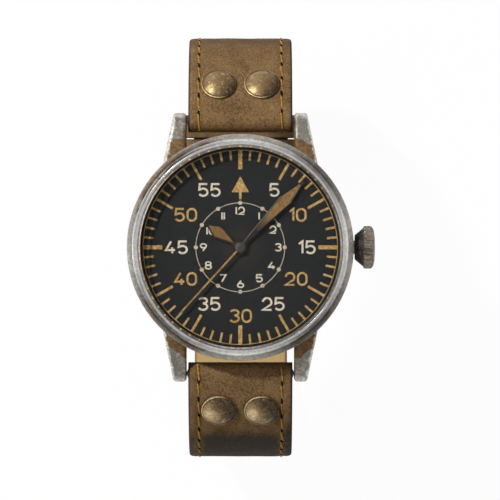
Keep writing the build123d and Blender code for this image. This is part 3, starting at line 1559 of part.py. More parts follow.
# Click: a pawl beside the ratchet wheel, on the bridge's outer face
click_at = place(click_distance, click_direction, barrel_at)
ratchet_tip = keyless_module * (ratchet_teeth / 2 + tooth_tip_height)
with BuildPart() as click:
    with BuildSketch(Plane.XY.offset(ratchet_level)):
        with Locations(Location((click_at.X, click_at.Y, 0), (0, 0, click_direction + 180))):
            Circle(click_radius)
            Polygon(
                (0, -click_half_width),
                (click_distance - ratchet_tip - click_gap, -click_half_width),
                (click_distance - ratchet_tip - click_gap, 0),
                (0, click_radius),
                align=None,
            )
            Circle(screw_shank_radius + running_gap, mode=Mode.SUBTRACT)
    extrude(amount=keyless_thickness)
click.part.label = "click"
export_step(click.part, "parts/click.step")

# Winding and sliding pinions on the stem
with BuildPart() as winding_pinion:
    with BuildSketch(Plane.YZ.offset(winding_pinion_start)):
        with Locations((0, crown_axis_height)):
            Circle(winding_pinion_radius)
            Circle(stem_radius + running_gap, mode=Mode.SUBTRACT)
            with PolarLocations(winding_pinion_radius, winding_pinion_slots):
                Rectangle(winding_slot_depth, winding_slot_width, mode=Mode.SUBTRACT)
    extrude(amount=winding_pinion_length)
winding_pinion.part.label = "winding_pinion"
export_step(winding_pinion.part, "parts/winding_pinion.step")

with BuildPart() as sliding_pinion:
    with BuildSketch(Plane.YZ.offset(sliding_pinion_start)):
        with Locations((0, crown_axis_height)):
            Circle(sliding_pinion_radius)
            Circle(stem_radius + running_gap, mode=Mode.SUBTRACT)
    extrude(amount=sliding_pinion_length)
sliding_pinion.part.label = "sliding_pinion"
export_step(sliding_pinion.part, "parts/sliding_pinion.step")

# Motion works under the dial: cannon pinion, minute wheel and hour wheel
works_level = pocket_floor + train_clearance
with BuildPart() as cannon_pinion:
    add(wheel_solid(axis_origin, works_level, cannon_teeth, works_module,
                    tooth_phase(cannon_teeth, works_direction), thickness=cannon_tooth_height))
    add(post_solid(axis_origin, works_level, minute_hand_z + hand_thickness + fit_gap, cannon_radius))
    add(post_solid(axis_origin, works_level, crystal_bottom, arbor_radius), mode=Mode.SUBTRACT)
cannon_pinion.part.label = "cannon_pinion"
export_step(cannon_pinion.part, "parts/cannon_pinion.step")

minute_pinion_level = works_level + works_wheel_lift
with BuildPart() as minute_wheel:
    with Locations((works_at.X, works_at.Y)):
        add(wheel_solid(axis_origin, works_level + fit_gap, minute_wheel_teeth, works_module,
                        meshing_phase(minute_wheel_teeth, works_direction + 180)))
        add(wheel_solid(axis_origin, works_level + fit_gap, minute_pinion_teeth, works_module,
                        tooth_phase(minute_pinion_teeth, works_direction + 180),
                        thickness=dial_bottom - train_clearance - works_level - fit_gap))
        add(
            post_solid(axis_origin, pocket_floor, dial_bottom, works_post_radius + running_gap),
            mode=Mode.SUBTRACT,
        )
minute_wheel.part.label = "minute_wheel"
export_step(minute_wheel.part, "parts/minute_wheel.step")

with BuildPart() as hour_wheel:
    add(wheel_solid(axis_origin, minute_pinion_level, hour_wheel_teeth, works_module,
                    meshing_phase(hour_wheel_teeth, works_direction)))
    add(post_solid(
        axis_origin, minute_pinion_level, hour_hand_z + hand_thickness + fit_gap, hour_pipe_radius
    ))
    add(
        post_solid(axis_origin, minute_pinion_level, crystal_bottom, cannon_radius + running_gap),
        mode=Mode.SUBTRACT,
    )
hour_wheel.part.label = "hour_wheel"
export_step(hour_wheel.part, "parts/hour_wheel.step")

# Jewels in the bridges, and the bridge screws
with BuildPart() as jewels:
    with BuildSketch(Plane.XY.offset(bridge_bottom)):
        with Locations(*[(at.X, at.Y) for at in (axis_origin, third_at, escape_at, balance_at)]):
            Circle(jewel_radius)
            Circle(pivot_radius + running_gap, mode=Mode.SUBTRACT)
    extrude(amount=bridge_thickness)
jewels.part.label = "jewels"
export_step(jewels.part, "parts/jewels.step")

pillars = barrel_pillars + train_pillars + [cock_foot_at]
with BuildPart() as bridge_screws:
    for at in pillars:
        add(post_solid(at, bridge_bottom - screw_head_height, bridge_bottom, screw_head_radius))
        add(post_solid(at, bridge_bottom, bridge_bottom + screw_length, screw_shank_radius))
bridge_screws.part.label = "bridge_screws"
export_step(bridge_screws.part, "parts/bridge_screws.step")

# Ring that holds the movement in the case
with BuildPart() as movement_ring:
    with BuildSketch(Plane.XY.offset(dial_bottom - ring_height)):
        Circle(ring_outer_radius)
        Circle(movement_radius + ring_clearance, mode=Mode.SUBTRACT)
    extrude(amount=ring_height)
    with BuildSketch(Plane.YZ.offset(movement_radius - cut_overrun)):
        with Locations((0, crown_axis_height)):
            Circle(ring_stem_room)
    extrude(amount=ring_outer_radius, mode=Mode.SUBTRACT)
movement_ring.part.label = "movement_ring"
export_step(movement_ring.part, "parts/movement_ring.step")

# Crown seal inside the crown, round the tube
with BuildPart() as crown_gasket:
    with BuildSketch(Plane.YZ.offset(crown_start + crown_seal_depth)):
        with Locations((0, crown_axis_height)):
            Circle(tube_outer_radius + crown_tube_clearance + crown_seal_size)
            Circle(tube_outer_radius + crown_tube_clearance / 2, mode=Mode.SUBTRACT)
    extrude(amount=crown_seal_size)
crown_gasket.part.label = "crown_gasket"
export_step(crown_gasket.part, "parts/crown_gasket.step")
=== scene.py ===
"""Looks of a 42 mm pilot watch: finishes, dial print, hands, riveted strap, camera and studio."""
import logging
from dataclasses import dataclass, field
from enum import Enum
from math import acos, asin, atan2, cos, degrees, exp, hypot, pi, radians, sin, tau
from typing import Callable, Iterable, Sequence

import bmesh
import bpy
from bpy.types import ID, Material, Mesh, Node, NodeSocket, NodeTree, Object
from mathutils import Matrix, Vector, noise


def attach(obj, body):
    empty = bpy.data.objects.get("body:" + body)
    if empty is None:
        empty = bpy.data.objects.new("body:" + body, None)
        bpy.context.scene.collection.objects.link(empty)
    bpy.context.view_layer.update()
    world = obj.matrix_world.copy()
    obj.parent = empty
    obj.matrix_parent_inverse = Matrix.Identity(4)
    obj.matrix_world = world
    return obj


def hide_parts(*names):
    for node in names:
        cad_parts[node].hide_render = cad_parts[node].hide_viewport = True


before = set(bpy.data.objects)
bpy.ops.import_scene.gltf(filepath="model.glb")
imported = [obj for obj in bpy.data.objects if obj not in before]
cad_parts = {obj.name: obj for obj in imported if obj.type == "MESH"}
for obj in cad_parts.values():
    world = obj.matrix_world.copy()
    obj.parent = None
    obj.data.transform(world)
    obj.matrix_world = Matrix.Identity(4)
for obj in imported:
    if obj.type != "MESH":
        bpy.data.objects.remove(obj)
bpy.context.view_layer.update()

MM = 0.001
log = logging.getLogger("pilot_watch")

Colour = tuple[float, float, float]
Point2 = tuple[float, float]
Point3 = tuple[float, float, float]
Face = tuple[int, ...]
Mask = Callable[[Vector], float]
WHITE = (1.0, 1.0, 1.0)


class Body(str, Enum):
    """The bodies that pieces ride on."""

    CASE = "case"
    SECONDS = "seconds"
    MINUTES = "minutes"
    HOURS = "hours"
    CROWN = "crown"
    STRAP_LONG = "strap_long"
    STRAP_SHORT = "strap_short"
    KEEPER = "keeper"
    BUCKLE = "buckle"
    TONGUE = "tongue"


def linear(value: int) -> float:
    """Scene-linear value of a screen value from 0 to 255."""
    share = value / 255
    return share / 12.92 if share <= 0.04045 else ((share + 0.055) / 1.055) ** 2.4


def srgb(red: int, green: int, blue: int) -> Colour:
    """Scene-linear colour of screen values from 0 to 255."""
    return (linear(red), linear(green), linear(blue))


class Graph:
    """Adds and links the nodes of one node tree."""

    def __init__(self, tree: NodeTree) -> None:
        """Keep the tree that the nodes go into."""
        self.tree = tree

    def feed(self, node: Node, inputs: dict) -> None:
        """Set a node's inputs, each by a value, a colour or a socket to link from."""
        for key, value in inputs.items():
            target = node.inputs[key]
            if isinstance(value, NodeSocket):
                self.tree.links.new(value, target)
            else:
                target.default_value = (*value, 1.0) if target.type == "RGBA" else value

    def node(self, kind: str, inputs: dict | None = None, **settings: object) -> Node:
        """Add a node.

        Args:
            kind: The node's type name.
            inputs: Socket name or index to a value or to a socket to link from.
            settings: Attributes of the node itself.

        Returns:
            The node.
        """
        made = self.tree.nodes.new(kind)
        for name, value in settings.items():
            setattr(made, name, value)
        self.feed(made, inputs or {})
        return made

    def maths(self, operation: str, *values: object, clamp: bool = False) -> NodeSocket:
        """A Math node's result."""
        made = self.node("ShaderNodeMath", dict(enumerate(values)), operation=operation, use_clamp=clamp)
        return made.outputs[0]

    def times(self, first: object, second: object, clamp: bool = False) -> NodeSocket:
        """Two values multiplied."""
        return self.maths("MULTIPLY", first, second, clamp=clamp)

    def plus(self, first: object, second: object, clamp: bool = False) -> NodeSocket:
        """Two values added."""
        return self.maths("ADD", first, second, clamp=clamp)

    def minus(self, first: object, second: object) -> NodeSocket:
        """The second value taken from the first."""
        return self.maths("SUBTRACT", first, second)

    def between(
        self, value: object, low: float, high: float, out_low: float = 0.0, out_high: float = 1.0,
    ) -> NodeSocket:
        """A value's smooth place between two bounds."""
        return self.node("ShaderNodeMapRange", {
            "Value": value, "From Min": low, "From Max": high, "To Min": out_low, "To Max": out_high,
        }, interpolation_type="SMOOTHSTEP").outputs["Result"]

    def mix(self, factor: object, first: object, second: object) -> NodeSocket:
        """Two colours mixed."""
        return self.node("ShaderNodeMix", {0: factor, 6: first, 7: second}, data_type="RGBA").outputs[2]

    def noise(
        self, vector: object, scale: object, detail: float = 4.0, rough: float = 0.55, warp: float = 0.0,
    ) -> NodeSocket:
        """A noise texture's value."""
        return self.node("ShaderNodeTexNoise", {
            "Vector": vector, "Scale": scale, "Detail": detail, "Roughness": rough, "Distortion": warp,
        }).outputs["Fac"]

    def mask(self, name: str) -> NodeSocket:
        """A mask that the mesh carries."""
        return self.node("ShaderNodeAttribute", attribute_name=name).outputs["Fac"]

    def seen_plainly(self) -> NodeSocket:
        """1 where the camera, a mirror or clear glass looks at the surface, or else 0."""
        path = self.node("ShaderNodeLightPath").outputs
        seen = self.maths("MAXIMUM", path["Is Camera Ray"], path["Is Glossy Ray"])
        return self.maths("MAXIMUM", seen, path["Is Transmission Ray"])


def start_group(
    name: str, kind: str, given: dict[str, tuple[str, object]], results: dict[str, str],
) -> tuple[Graph, Node, Node]:
    """Start a node group.

    Args:
        name: The group's name.
        kind: The tree's type name.
        given: The inputs' names, each with its kind of socket and its default.
        results: The outputs' names, each with its kind of socket.

    Returns:
        The group's graph, its input node and its output node.
    """
    tree = bpy.data.node_groups.new(name, kind)
    for label, (socket, default) in given.items():
        made = tree.interface.new_socket(name=label, in_out="INPUT", socket_type=f"NodeSocket{socket}")
        if default is not None:
            made.default_value = default
    for label, socket in results.items():
        tree.interface.new_socket(name=label, in_out="OUTPUT", socket_type=f"NodeSocket{socket}")
    graph = Graph(tree)
    return graph, graph.node("NodeGroupInput"), graph.node("NodeGroupOutput")


def build_patina_group() -> NodeTree:
    """Blotches of tarnish, specks and bright rubs on worn metal.

    Returns:
        A group with the masks of stain, specks and rubs, and a fine height.
    """
    graph, given, result = start_group("worn metal", "ShaderNodeTree", {
        "Vector": ("Vector", None), "Blotch scale": ("Float", 260.0), "Amount": ("Float", 0.5),
    }, {"Stain": "Float", "Speck": "Float", "Rub": "Float", "Height": "Float"})
    spot = given.outputs["Vector"]
    large = graph.noise(spot, given.outputs["Blotch scale"], 6.0, 0.66, 0.5)
    fine = graph.noise(spot, 2400.0, 4.0, 0.7)
    specks = graph.noise(spot, 1500.0, 2.0, 0.6)
    rubs = graph.noise(spot, 900.0, 4.0, 0.75, 0.8)
    rise = graph.times(graph.minus(given.outputs["Amount"], 0.5), 0.62)
    grit = graph.times(graph.minus(fine, 0.5), 0.3)
    blotches = graph.plus(graph.plus(large, grit), rise)
    pits = graph.plus(specks, graph.times(rise, 0.35))
    graph.feed(result, {
        "Stain": graph.between(blotches, 0.44, 0.6),
        "Speck": graph.between(pits, 0.6, 0.68),
        "Rub": graph.between(rubs, 0.5, 0.66),
        "Height": graph.plus(fine, graph.times(rubs, 0.6)),
    })
    return graph.tree


def build_leather_group() -> NodeTree:
    """Nap, pores and scuffs of worn nubuck.

    Returns:
        A group with the masks of mottling, nap and scuffs, and the height of the grain.
    """
    graph, given, result = start_group("worn nubuck", "ShaderNodeTree", {
        "Vector": ("Vector", None), "Grain scale": ("Float", 2600.0),
    }, {"Mottle": "Float", "Nap": "Float", "Scuff": "Float", "Height": "Float"})
    spot = given.outputs["Vector"]
    grain = given.outputs["Grain scale"]
    mottle = graph.noise(spot, 210.0, 6.0, 0.6, 0.5)
    nap = graph.noise(spot, grain, 3.0, 0.7)
    scuff = graph.noise(spot, 620.0, 5.0, 0.7, 1.1)
    cells = graph.node("ShaderNodeTexVoronoi", {"Vector": spot, "Scale": grain}).outputs["Distance"]
    pores = graph.plus(nap, graph.times(cells, 0.35))
    graph.feed(result, {
        "Mottle": graph.between(mottle, 0.34, 0.66),
        "Nap": graph.between(nap, 0.36, 0.64),
        "Scuff": graph.between(scuff, 0.54, 0.72),
        "Height": graph.plus(pores, graph.times(scuff, 0.7)),
    })
    return graph.tree


PATINA = build_patina_group()
NUBUCK = build_leather_group()


def start_material(name: str) -> tuple[Material, Graph, Node, NodeSocket]:
    """Start a material.

    Args:
        name: The material's name.

    Returns:
        The material, its graph, its shader node and the Object coordinates.
    """
    material = bpy.data.materials.new(name)
    material.use_nodes = True
    graph = Graph(material.node_tree)
    spot = graph.node("ShaderNodeTexCoord").outputs["Object"]
    return material, graph, material.node_tree.nodes["Principled BSDF"], spot


def add_bump(graph: Graph, shader: Node, height: NodeSocket, depth: float) -> None:
    """Feed a height to the shader's normal, with the depth of its relief in metres."""
    bump = graph.node("ShaderNodeBump", {"Strength": 1.0, "Distance": depth, "Height": height})
    graph.feed(shader, {"Normal": bump.outputs["Normal"]})


@dataclass(frozen=True)
class WornMetal:
    """Metal with tarnish in blotches, rust specks, bright rubs and painted highlights.

    The mesh may carry "stain", which adds tarnish, "dark", which turns the colour towards a dark tone and
    carries painted shade and painted dark reflections as well as real patina, and "edge", which turns it
    towards the bright colour and carries painted highlights.
    """

    name: str
    metal: Colour
    stain: Colour
    speck: Colour
    roughness: float = 0.4
    stain_roughness: float = 0.62
    amount: float = 0.2
    speck_share: float = 0.5
    rub_share: float = 0.3
    blotch_scale: float = 260.0
    relief: float = 0.02 * MM
    metallic: float = 0.7
    stain_metallic: float = 0.3
    # The bright colour serves real rubs and painted highlights; the dark tone below serves the fine grain, real
    # patina, painted shade and painted dark reflections.
    bright: Colour = (0.72, 0.7, 0.66)
    oxide: Colour = (0.05, 0.04, 0.03)
    fine_share: float = 0.35
    gloss: float = 0.25

    def build(self) -> Material:
        """Make the material."""
        material, graph, shader, spot = start_material(self.name)
        dark = graph.mask("dark")
        worn = graph.node("ShaderNodeGroup", node_tree=PATINA)
        graph.feed(worn, {
            "Vector": spot, "Blotch scale": self.blotch_scale,
            "Amount": graph.plus(graph.mask("stain"), self.amount),
        })
        stain, speck, rub, height = worn.outputs
        colour = graph.mix(graph.times(rub, self.rub_share), self.metal, self.bright)
        shade = graph.times(graph.minus(1.0, graph.between(height, 0.55, 1.05)), self.fine_share)
        # Painted shade and painted dark reflections from the dark mask, with real patina and the fine grain,
        # turn the colour towards the dark tone.
        colour = graph.mix(graph.plus(dark, shade, True), colour, self.oxide)
        colour = graph.mix(stain, colour, self.stain)
        colour = graph.mix(graph.times(speck, self.speck_share), colour, self.speck)
        # Painted highlights from the edge mask turn the colour towards the bright colour.
        painted_highlight_share = graph.times(graph.mask("edge"), graph.between(height, 0.62, 0.9, 0.35, 1.0), True)
        rough = graph.maths("MULTIPLY_ADD", stain, self.stain_roughness - self.roughness, self.roughness)
        metal = graph.maths("MULTIPLY_ADD", stain, self.stain_metallic - self.metallic, self.metallic)
        graph.feed(shader, {
            "Base Color": graph.mix(painted_highlight_share, colour, self.bright),
            "Roughness": graph.maths("MULTIPLY_ADD", dark, 0.3, rough),
            "Metallic": graph.times(metal, graph.between(dark, 0.0, 1.0, 1.0, 0.12)),
            "Specular IOR Level": self.gloss,
        })
        add_bump(graph, shader, height, self.relief)
        return material


@dataclass(frozen=True)
class PlainFinish:
    """A paint, plastic or polished metal with a fine relief and a blotchy second colour.

    Where centre is given, the colour turns to it near the watch's axis.
    """

    name: str
    colour: Colour
    second: Colour
    roughness: float = 0.5
    metallic: float = 0.0
    patch_scale: float = 500.0
    relief: float = 0.01 * MM
    gloss: float = 0.25
    second_share: float = 0.5
    centre: Colour | None = None
    centre_reach: tuple[float, float] = (0.0, 0.0)

    def build(self) -> Material:
        """Make the material."""
        material, graph, shader, spot = start_material(self.name)
        patches = graph.noise(spot, self.patch_scale, 5.0, 0.6, 0.3)
        edge = 0.5 + (0.5 - self.second_share) * 0.36
        colour = graph.mix(graph.between(patches, edge - 0.1, edge + 0.1), self.colour, self.second)
        if self.centre is not None:
            flat = graph.node("ShaderNodeVectorMath", {0: spot, 1: (1.0, 1.0, 0.0)}, operation="MULTIPLY")
            far = graph.node("ShaderNodeVectorMath", {0: flat.outputs[0]}, operation="LENGTH")
            reach = far.outputs["Value"]
            swell = graph.times(graph.minus(patches, 0.5), 4.0 * MM)
            near, far = self.centre_reach
            share = graph.between(graph.plus(reach, swell), near * MM, far * MM, 1.0, 0.0)
            colour = graph.mix(share, colour, self.centre)
        graph.feed(shader, {
            "Base Color": colour, "Roughness": self.roughness, "Metallic": self.metallic,
            "Specular IOR Level": self.gloss,
        })
        add_bump(graph, shader, graph.noise(spot, 7000.0, 3.0), self.relief)
        return material


@dataclass(frozen=True)
class NubuckFinish:
    """Worn nubuck, darker where the mesh's "wear" rises and grey where its "soil" does: real dirt, painted
    shade and painted shadow.
    """

    name: str
    base: Colour
    dark: Colour
    light: Colour
    edge: Colour
    # Colour of real dirt and of painted shade and painted shadow.
    soil: Colour
    roughness: float = 0.9
    relief: float = 0.07 * MM
    grain_scale: float = 2900.0
    gloss: float = 0.12

    def build(self) -> Material:
        """Make the material."""
        material, graph, shader, spot = start_material(self.name)
        worn = graph.node("ShaderNodeGroup", node_tree=NUBUCK)
        graph.feed(worn, {"Vector": spot, "Grain scale": self.grain_scale})
        mottle, nap, scuff, height = worn.outputs
        tone = graph.plus(graph.times(mottle, 0.3), graph.times(nap, 0.7))
        colour = graph.mix(tone, self.dark, self.base)
        colour = graph.mix(graph.times(scuff, 0.4), colour, self.light)
        speckle = graph.times(graph.minus(nap, 0.5), 0.7)
        # Real dirt, painted shade and painted shadow turn the colour grey.
        grime_and_shade_share = graph.times(graph.between(graph.plus(graph.mask("soil"), speckle), 0.2, 1.0), 0.95)
        colour = graph.mix(grime_and_shade_share, colour, self.soil)
        torn = graph.plus(graph.mask("wear"), graph.times(scuff, 0.2))
        graph.feed(shader, {
            "Base Color": graph.mix(graph.between(torn, 0.25, 0.95), colour, self.edge),
            "Roughness": self.roughness, "Specular IOR Level": self.gloss,
        })
        add_bump(graph, shader, height, self.relief)
        return material


@dataclass(frozen=True)
class GlassFinish:
    """Clear glass whose rim shows more than its face."""

    name: str
    tint: Colour
    alpha: float = 0.05
    roughness: float = 0.02

    def build(self) -> Material:
        """Make the material."""
        material, graph, shader, _ = start_material(self.name)
        graph.feed(shader, {"Base Color": self.tint, "Alpha": self.alpha, "Roughness": self.roughness})
        return material


def ring_indices(first: int, second: int, count: int) -> list[Face]:
    """Quads between two rings of points.

    Args:
        first: Index of the first ring's first point.
        second: Index of the second ring's first point.
        count: Points in each ring.

    Returns:
        The quads.
    """
    return [
        (first + step, first + (step + 1) % count, second + (step + 1) % count, second + step)
        for step in range(count)
    ]


def link_object(name: str, data: ID) -> Object:
    """A new object in the scene."""
    made = bpy.data.objects.new(name, data)
    bpy.context.scene.collection.objects.link(made)
    return made


def raw_mesh(name: str, points: Iterable[Sequence[float]], faces: Sequence[Face]) -> Mesh:
    """A mesh from points in millimetres."""
    mesh = bpy.data.meshes.new(name)
    mesh.from_pydata([(x * MM, y * MM, z * MM) for x, y, z in points], [], faces)
    mesh.update()
    return mesh


def make_object(
    name: str, points: Iterable[Sequence[float]], faces: Sequence[Face], smooth_angle: float = 40.0,
    masks: dict[str, Sequence[float]] | None = None,
) -> Object:
    """Make a mesh object with its faces turned outwards.

    Args:
        name: The object's name.
        points: The points, in millimetres.
        faces: Point indices of each face.
        smooth_angle: Edges sharper than this, in degrees, stay sharp.
        masks: Values at each point, from 0 to 1, by name.

    Returns:
        The object, linked to the scene.
    """
    mesh = raw_mesh(name, points, faces)
    for label, values in (masks or {}).items():
        mesh.attributes.new(label, "FLOAT", "POINT").data.foreach_set("value", list(values))
    tidy_normals(mesh)
    shade(mesh, smooth_angle)
    return link_object(name, mesh)


def tidy_normals(mesh: Mesh) -> None:
    """Turn a mesh's faces outwards."""
    work = bmesh.new()
    work.from_mesh(mesh)
    bmesh.ops.remove_doubles(work, verts=work.verts, dist=1e-8)
    bmesh.ops.recalc_face_normals(work, faces=work.faces)
    if work.calc_volume(signed=True) < 0:
        bmesh.ops.reverse_faces(work, faces=work.faces)
    work.to_mesh(mesh)
    work.free()


def shade(mesh: Mesh, smooth_angle: float) -> None:
    """Shade a mesh smooth, but not over edges sharper than an angle in degrees."""
    mesh.shade_smooth()
    mesh.set_sharp_from_angle(angle=radians(smooth_angle))


def lathe(name: str, profile: Sequence[Point2], segments: int = 192, smooth_angle: float = 30.0) -> Object:
    """Turn a closed profile of radius and height about the Z axis.

    Args:
        name: The object's name.
        profile: Radius and height of each point, in millimetres.
        segments: Steps round the axis.
        smooth_angle: Edges sharper than this stay sharp.

    Returns:
        The turned object.
    """
    points = []
    for radius, height in profile:
        for step in range(segments):
            turn = tau * step / segments
            points.append((radius * cos(turn), radius * sin(turn), height))
    faces = []
    for row in range(len(profile)):
        after = (row + 1) % len(profile)
        if profile[row][0] == 0 and profile[after][0] == 0:
            continue
        faces += ring_indices(row * segments, after * segments, segments)
    return make_object(name, points, faces, smooth_angle)


def closed_tube(rows: int, count: int) -> list[Face]:
    """Faces of rings of points stacked into a tube: the lower cap, the sides ring by ring, the upper cap."""
    faces: list[Face] = [tuple(range(count - 1, -1, -1))]
    for row in range(rows - 1):
        faces += ring_indices(row * count, (row + 1) * count, count)
    return faces + [tuple(range((rows - 1) * count, rows * count))]


def flat_plate(
    name: str, outline: Sequence[Point2], bottom: float, top: float, bevel: float = 0.0,
    bare_sides: Sequence[int] = (),
) -> Object:
    """A plate with an outline and a bevelled upper edge.

    Args:
        name: The object's name.
        outline: The outline's points in order, in millimetres.
        bottom: Height of the lower face.
        top: Height of the upper face.
        bevel: Width of the bevel round the upper face.
        bare_sides: Outline sides whose bevel takes the second material.

    Returns:
        The plate.
    """
    rows = [(outline, bottom), (outline, top - bevel)]
    if bevel:
        rows.append((inset_outline(outline, bevel), top))
    points = [(x, y, height) for row, height in rows for x, y in row]
    made = make_object(name, points, closed_tube(len(rows), len(outline)), 25.0)
    for side in bare_sides:
        made.data.polygons[1 + len(outline) + side].material_index = 1
    return made


def inset_outline(outline: Sequence[Point2], amount: float) -> list[Point2]:
    """Move each corner of a closed outline inwards.

    Args:
        outline: The points in order.
        amount: How far each side moves in.

    Returns:
        The moved points.
    """
    corners = [Vector(point) for point in outline]
    following = corners[1:] + corners[:1]
    area = sum(here.x * after.y - after.x * here.y for here, after in zip(corners, following))
    side = 1.0 if area > 0 else -1.0
    moved = []
    for before, here, after in zip(corners[-1:] + corners, corners, following):
        first, second = (Vector((-way.y, way.x)).normalized() * side for way in (here - before, after - here))
        middle = (first + second).normalized()
        moved.append(tuple(here + middle * (amount / max(0.35, middle.dot(first)))))
    return moved


def nick_edges(work: bmesh.types.BMesh, angle: float, step: float, depth: float) -> None:
    """Wear the long sharp edges of a mesh unevenly.

    Args:
        work: The mesh, in metres.
        angle: Edges sharper than this, in degrees, are worn.
        step: Length of the pieces that they are cut to, in millimetres.
        depth: The deepest nick, in millimetres.
    """
    sharp = [edge for edge in work.edges if edge.is_manifold and edge.calc_face_angle(0.0) > radians(angle)
             and edge.is_convex and edge.calc_length() > 2 * step * MM]
    added: set[bmesh.types.BMVert] = set()
    for edge in sharp:
        cuts = min(60, int(edge.calc_length() / (step * MM)) - 1)
        made = bmesh.ops.subdivide_edges(work, edges=[edge], cuts=cuts)
        added.update(item for item in made["geom_inner"] if isinstance(item, bmesh.types.BMVert))
    work.normal_update()
    for vert in added:
        place = vert.co / MM
        bite = max(0.0, rough_at(place.x, place.y, place.z, 0.55) - 0.12)
        vert.co -= vert.normal * min(depth, bite * depth * 2.2) * MM


def net_over(work: bmesh.types.BMesh, near: float, step: float) -> None:
    """Cut the faces beyond a distance from the X axis into a fine net, so that they can carry masks.

    Args:
        work: The mesh, in metres.
        near: The distance, in millimetres.
        step: Mesh width of the net, in millimetres.
    """
    lug_inside = 9.9
    lug_outside = 14.6
    lug_tip = 25.0
    for normal, first, last in (
        (Vector((1.0, 0.0, 0.0)), lug_inside, lug_outside), (Vector((0.0, 1.0, 0.0)), near, lug_tip),
    ):
        place = step / 2 - last
        while place < last:
            if abs(place) > first:
                faces = [face for face in work.faces if abs(face.calc_center_median().y) > near * MM]
                edges = {edge for face in faces for edge in face.edges}
                verts = {vert for face in faces for vert in face.verts}
                geometry = [*faces, *edges, *verts]
                bmesh.ops.bisect_plane(
                    work, geom=geometry, dist=1e-7, plane_co=normal * place * MM, plane_no=normal)
            place += step


def cad_copy(
    node: str, name: str, bevel: float, angle: float = 35.0, segments: int = 2, nicks: float = 0.0,
    net: float = 0.0,
) -> Object:
    """A merged copy of a CAD node with rounded edges.

    Args:
        node: The CAD node's name.
        name: The copy's name.
        bevel: Bevel width in millimetres.
        angle: Edges sharper than this, in degrees, are bevelled and stay sharp in the shading.
        segments: Steps across each bevel.
        nicks: Step of the nicks along the edges in millimetres, none where zero.
        net: Mesh width of the net over the lugs in millimetres, none where zero.

    Returns:
        The copy, linked to the scene.
    """
    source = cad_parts[node]
    mesh = source.data.copy()
    mesh.transform(source.matrix_world)
    mesh.materials.clear()
    work = bmesh.new()
    work.from_mesh(mesh)
    bmesh.ops.remove_doubles(work, verts=work.verts, dist=2e-6)
    bmesh.ops.dissolve_limit(work, angle_limit=radians(1.0), verts=work.verts, edges=work.edges)
    if nicks:
        nick_edges(work, angle, nicks, 0.11)
    if net:
        net_over(work, 15.5, net)
    work.to_mesh(mesh)
    work.free()
    made = link_object(name, mesh)
    rounding = made.modifiers.new("rounding", "BEVEL")
    rounding.width = bevel * MM
    rounding.segments = segments
    rounding.limit_method = "ANGLE"
    rounding.angle_limit = radians(angle)
    bake(made)
    shade(made.data, angle)
    return made


def bake(made: Object) -> None:
    """Replace an object's mesh by what its modifiers make of it, and drop the modifiers."""
    graph = bpy.context.evaluated_depsgraph_get()
    graph.update()
    baked = bpy.data.meshes.new_from_object(made.evaluated_get(graph))
    made.modifiers.clear()
    made.data = baked


def join_all(name: str, pieces: Sequence[Object]) -> Object:
    """Join objects into one mesh, with the materials that they carry.

    Args:
        name: The joined object's name.
        pieces: The objects, none of them placed in the frame yet.

    Returns:
        The joined object.
    """
    with bpy.context.temp_override(
        active_object=pieces[0], object=pieces[0],
        selected_objects=list(pieces), selected_editable_objects=list(pieces),
    ):
        bpy.ops.object.join()
    pieces[0].name = name
    pieces[0].data.name = name
    return pieces[0]


FINISH_SLOTS = {
    "cream_print": "lume", "ring_print": "lume", "ochre_print": "lume",
    "lume_amber": "lume", "lume_brown": "lume",
    "thread": "strap_leather", "stitch_hole": "strap_leather", "rivet_base": "rivet_post_metal",
    "crystal_bevel": "crystal_glass",
}


def dress(made: Object, material: Material, body: Body, *nodes: str) -> Object:
    """Give a piece its material and its body, and hide the CAD nodes that it stands for.

    Args:
        made: The piece.
        material: Its material.
        body: The body that it rides on.
        nodes: The CAD nodes that it replaces.

    Returns:
        The piece.
    """
    if not made.data.materials:
        made.data.materials.append(material)
    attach(made, body.value)
    finish = material.name.split(".")[0]
    FINISH_SLOTS.get(finish, finish)
    if nodes:
        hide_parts(*nodes)
    return made


def smooth_step(value: float, low: float, high: float) -> float:
    """A value's smooth place between two bounds, from 0 to 1."""
    share = min(1.0, max(0.0, (value - low) / (high - low)))
    return share * share * (3 - 2 * share)


def hump(value: float, centre: float, width: float) -> float:
    """A smooth bump of height 1 at a centre."""
    share = (value - centre) / width
    return exp(-share * share)


def rough_at(x: float, y: float, z: float, scale: float) -> float:
    """Smooth noise between -1 and 1 at a point in millimetres, one swell about each scale."""
    return noise.noise(Vector((x / scale, y / scale, z / scale)))


def paint(made: Object, name: str, mask: Mask) -> None:
    """Store a mask on a piece's points.

    Args:
        made: The piece.
        name: The attribute's name.
        mask: Value from 0 to 1 at a place in millimetres.
    """
    mesh = made.data
    stored = mesh.attributes.get(name) or mesh.attributes.new(name, "FLOAT", "POINT")
    stored.data.foreach_set("value", [mask(vertex.co / MM) for vertex in mesh.vertices])


def sector(place: Vector, angle: float, width: float) -> float:
    """How near a place is to a clockwise angle from 12, from 0 to 1."""
    here = degrees(atan2(place.x, place.y))
    off = (here - angle + 180.0) % 360.0 - 180.0
    return hump(off, 0.0, width)


def round_about(centre: Point2, radius: float, angle: float) -> Point2:
    """A place at an angle in degrees on a circle."""
    turn = radians(angle)
    return (centre[0] + radius * cos(turn), centre[1] + radius * sin(turn))


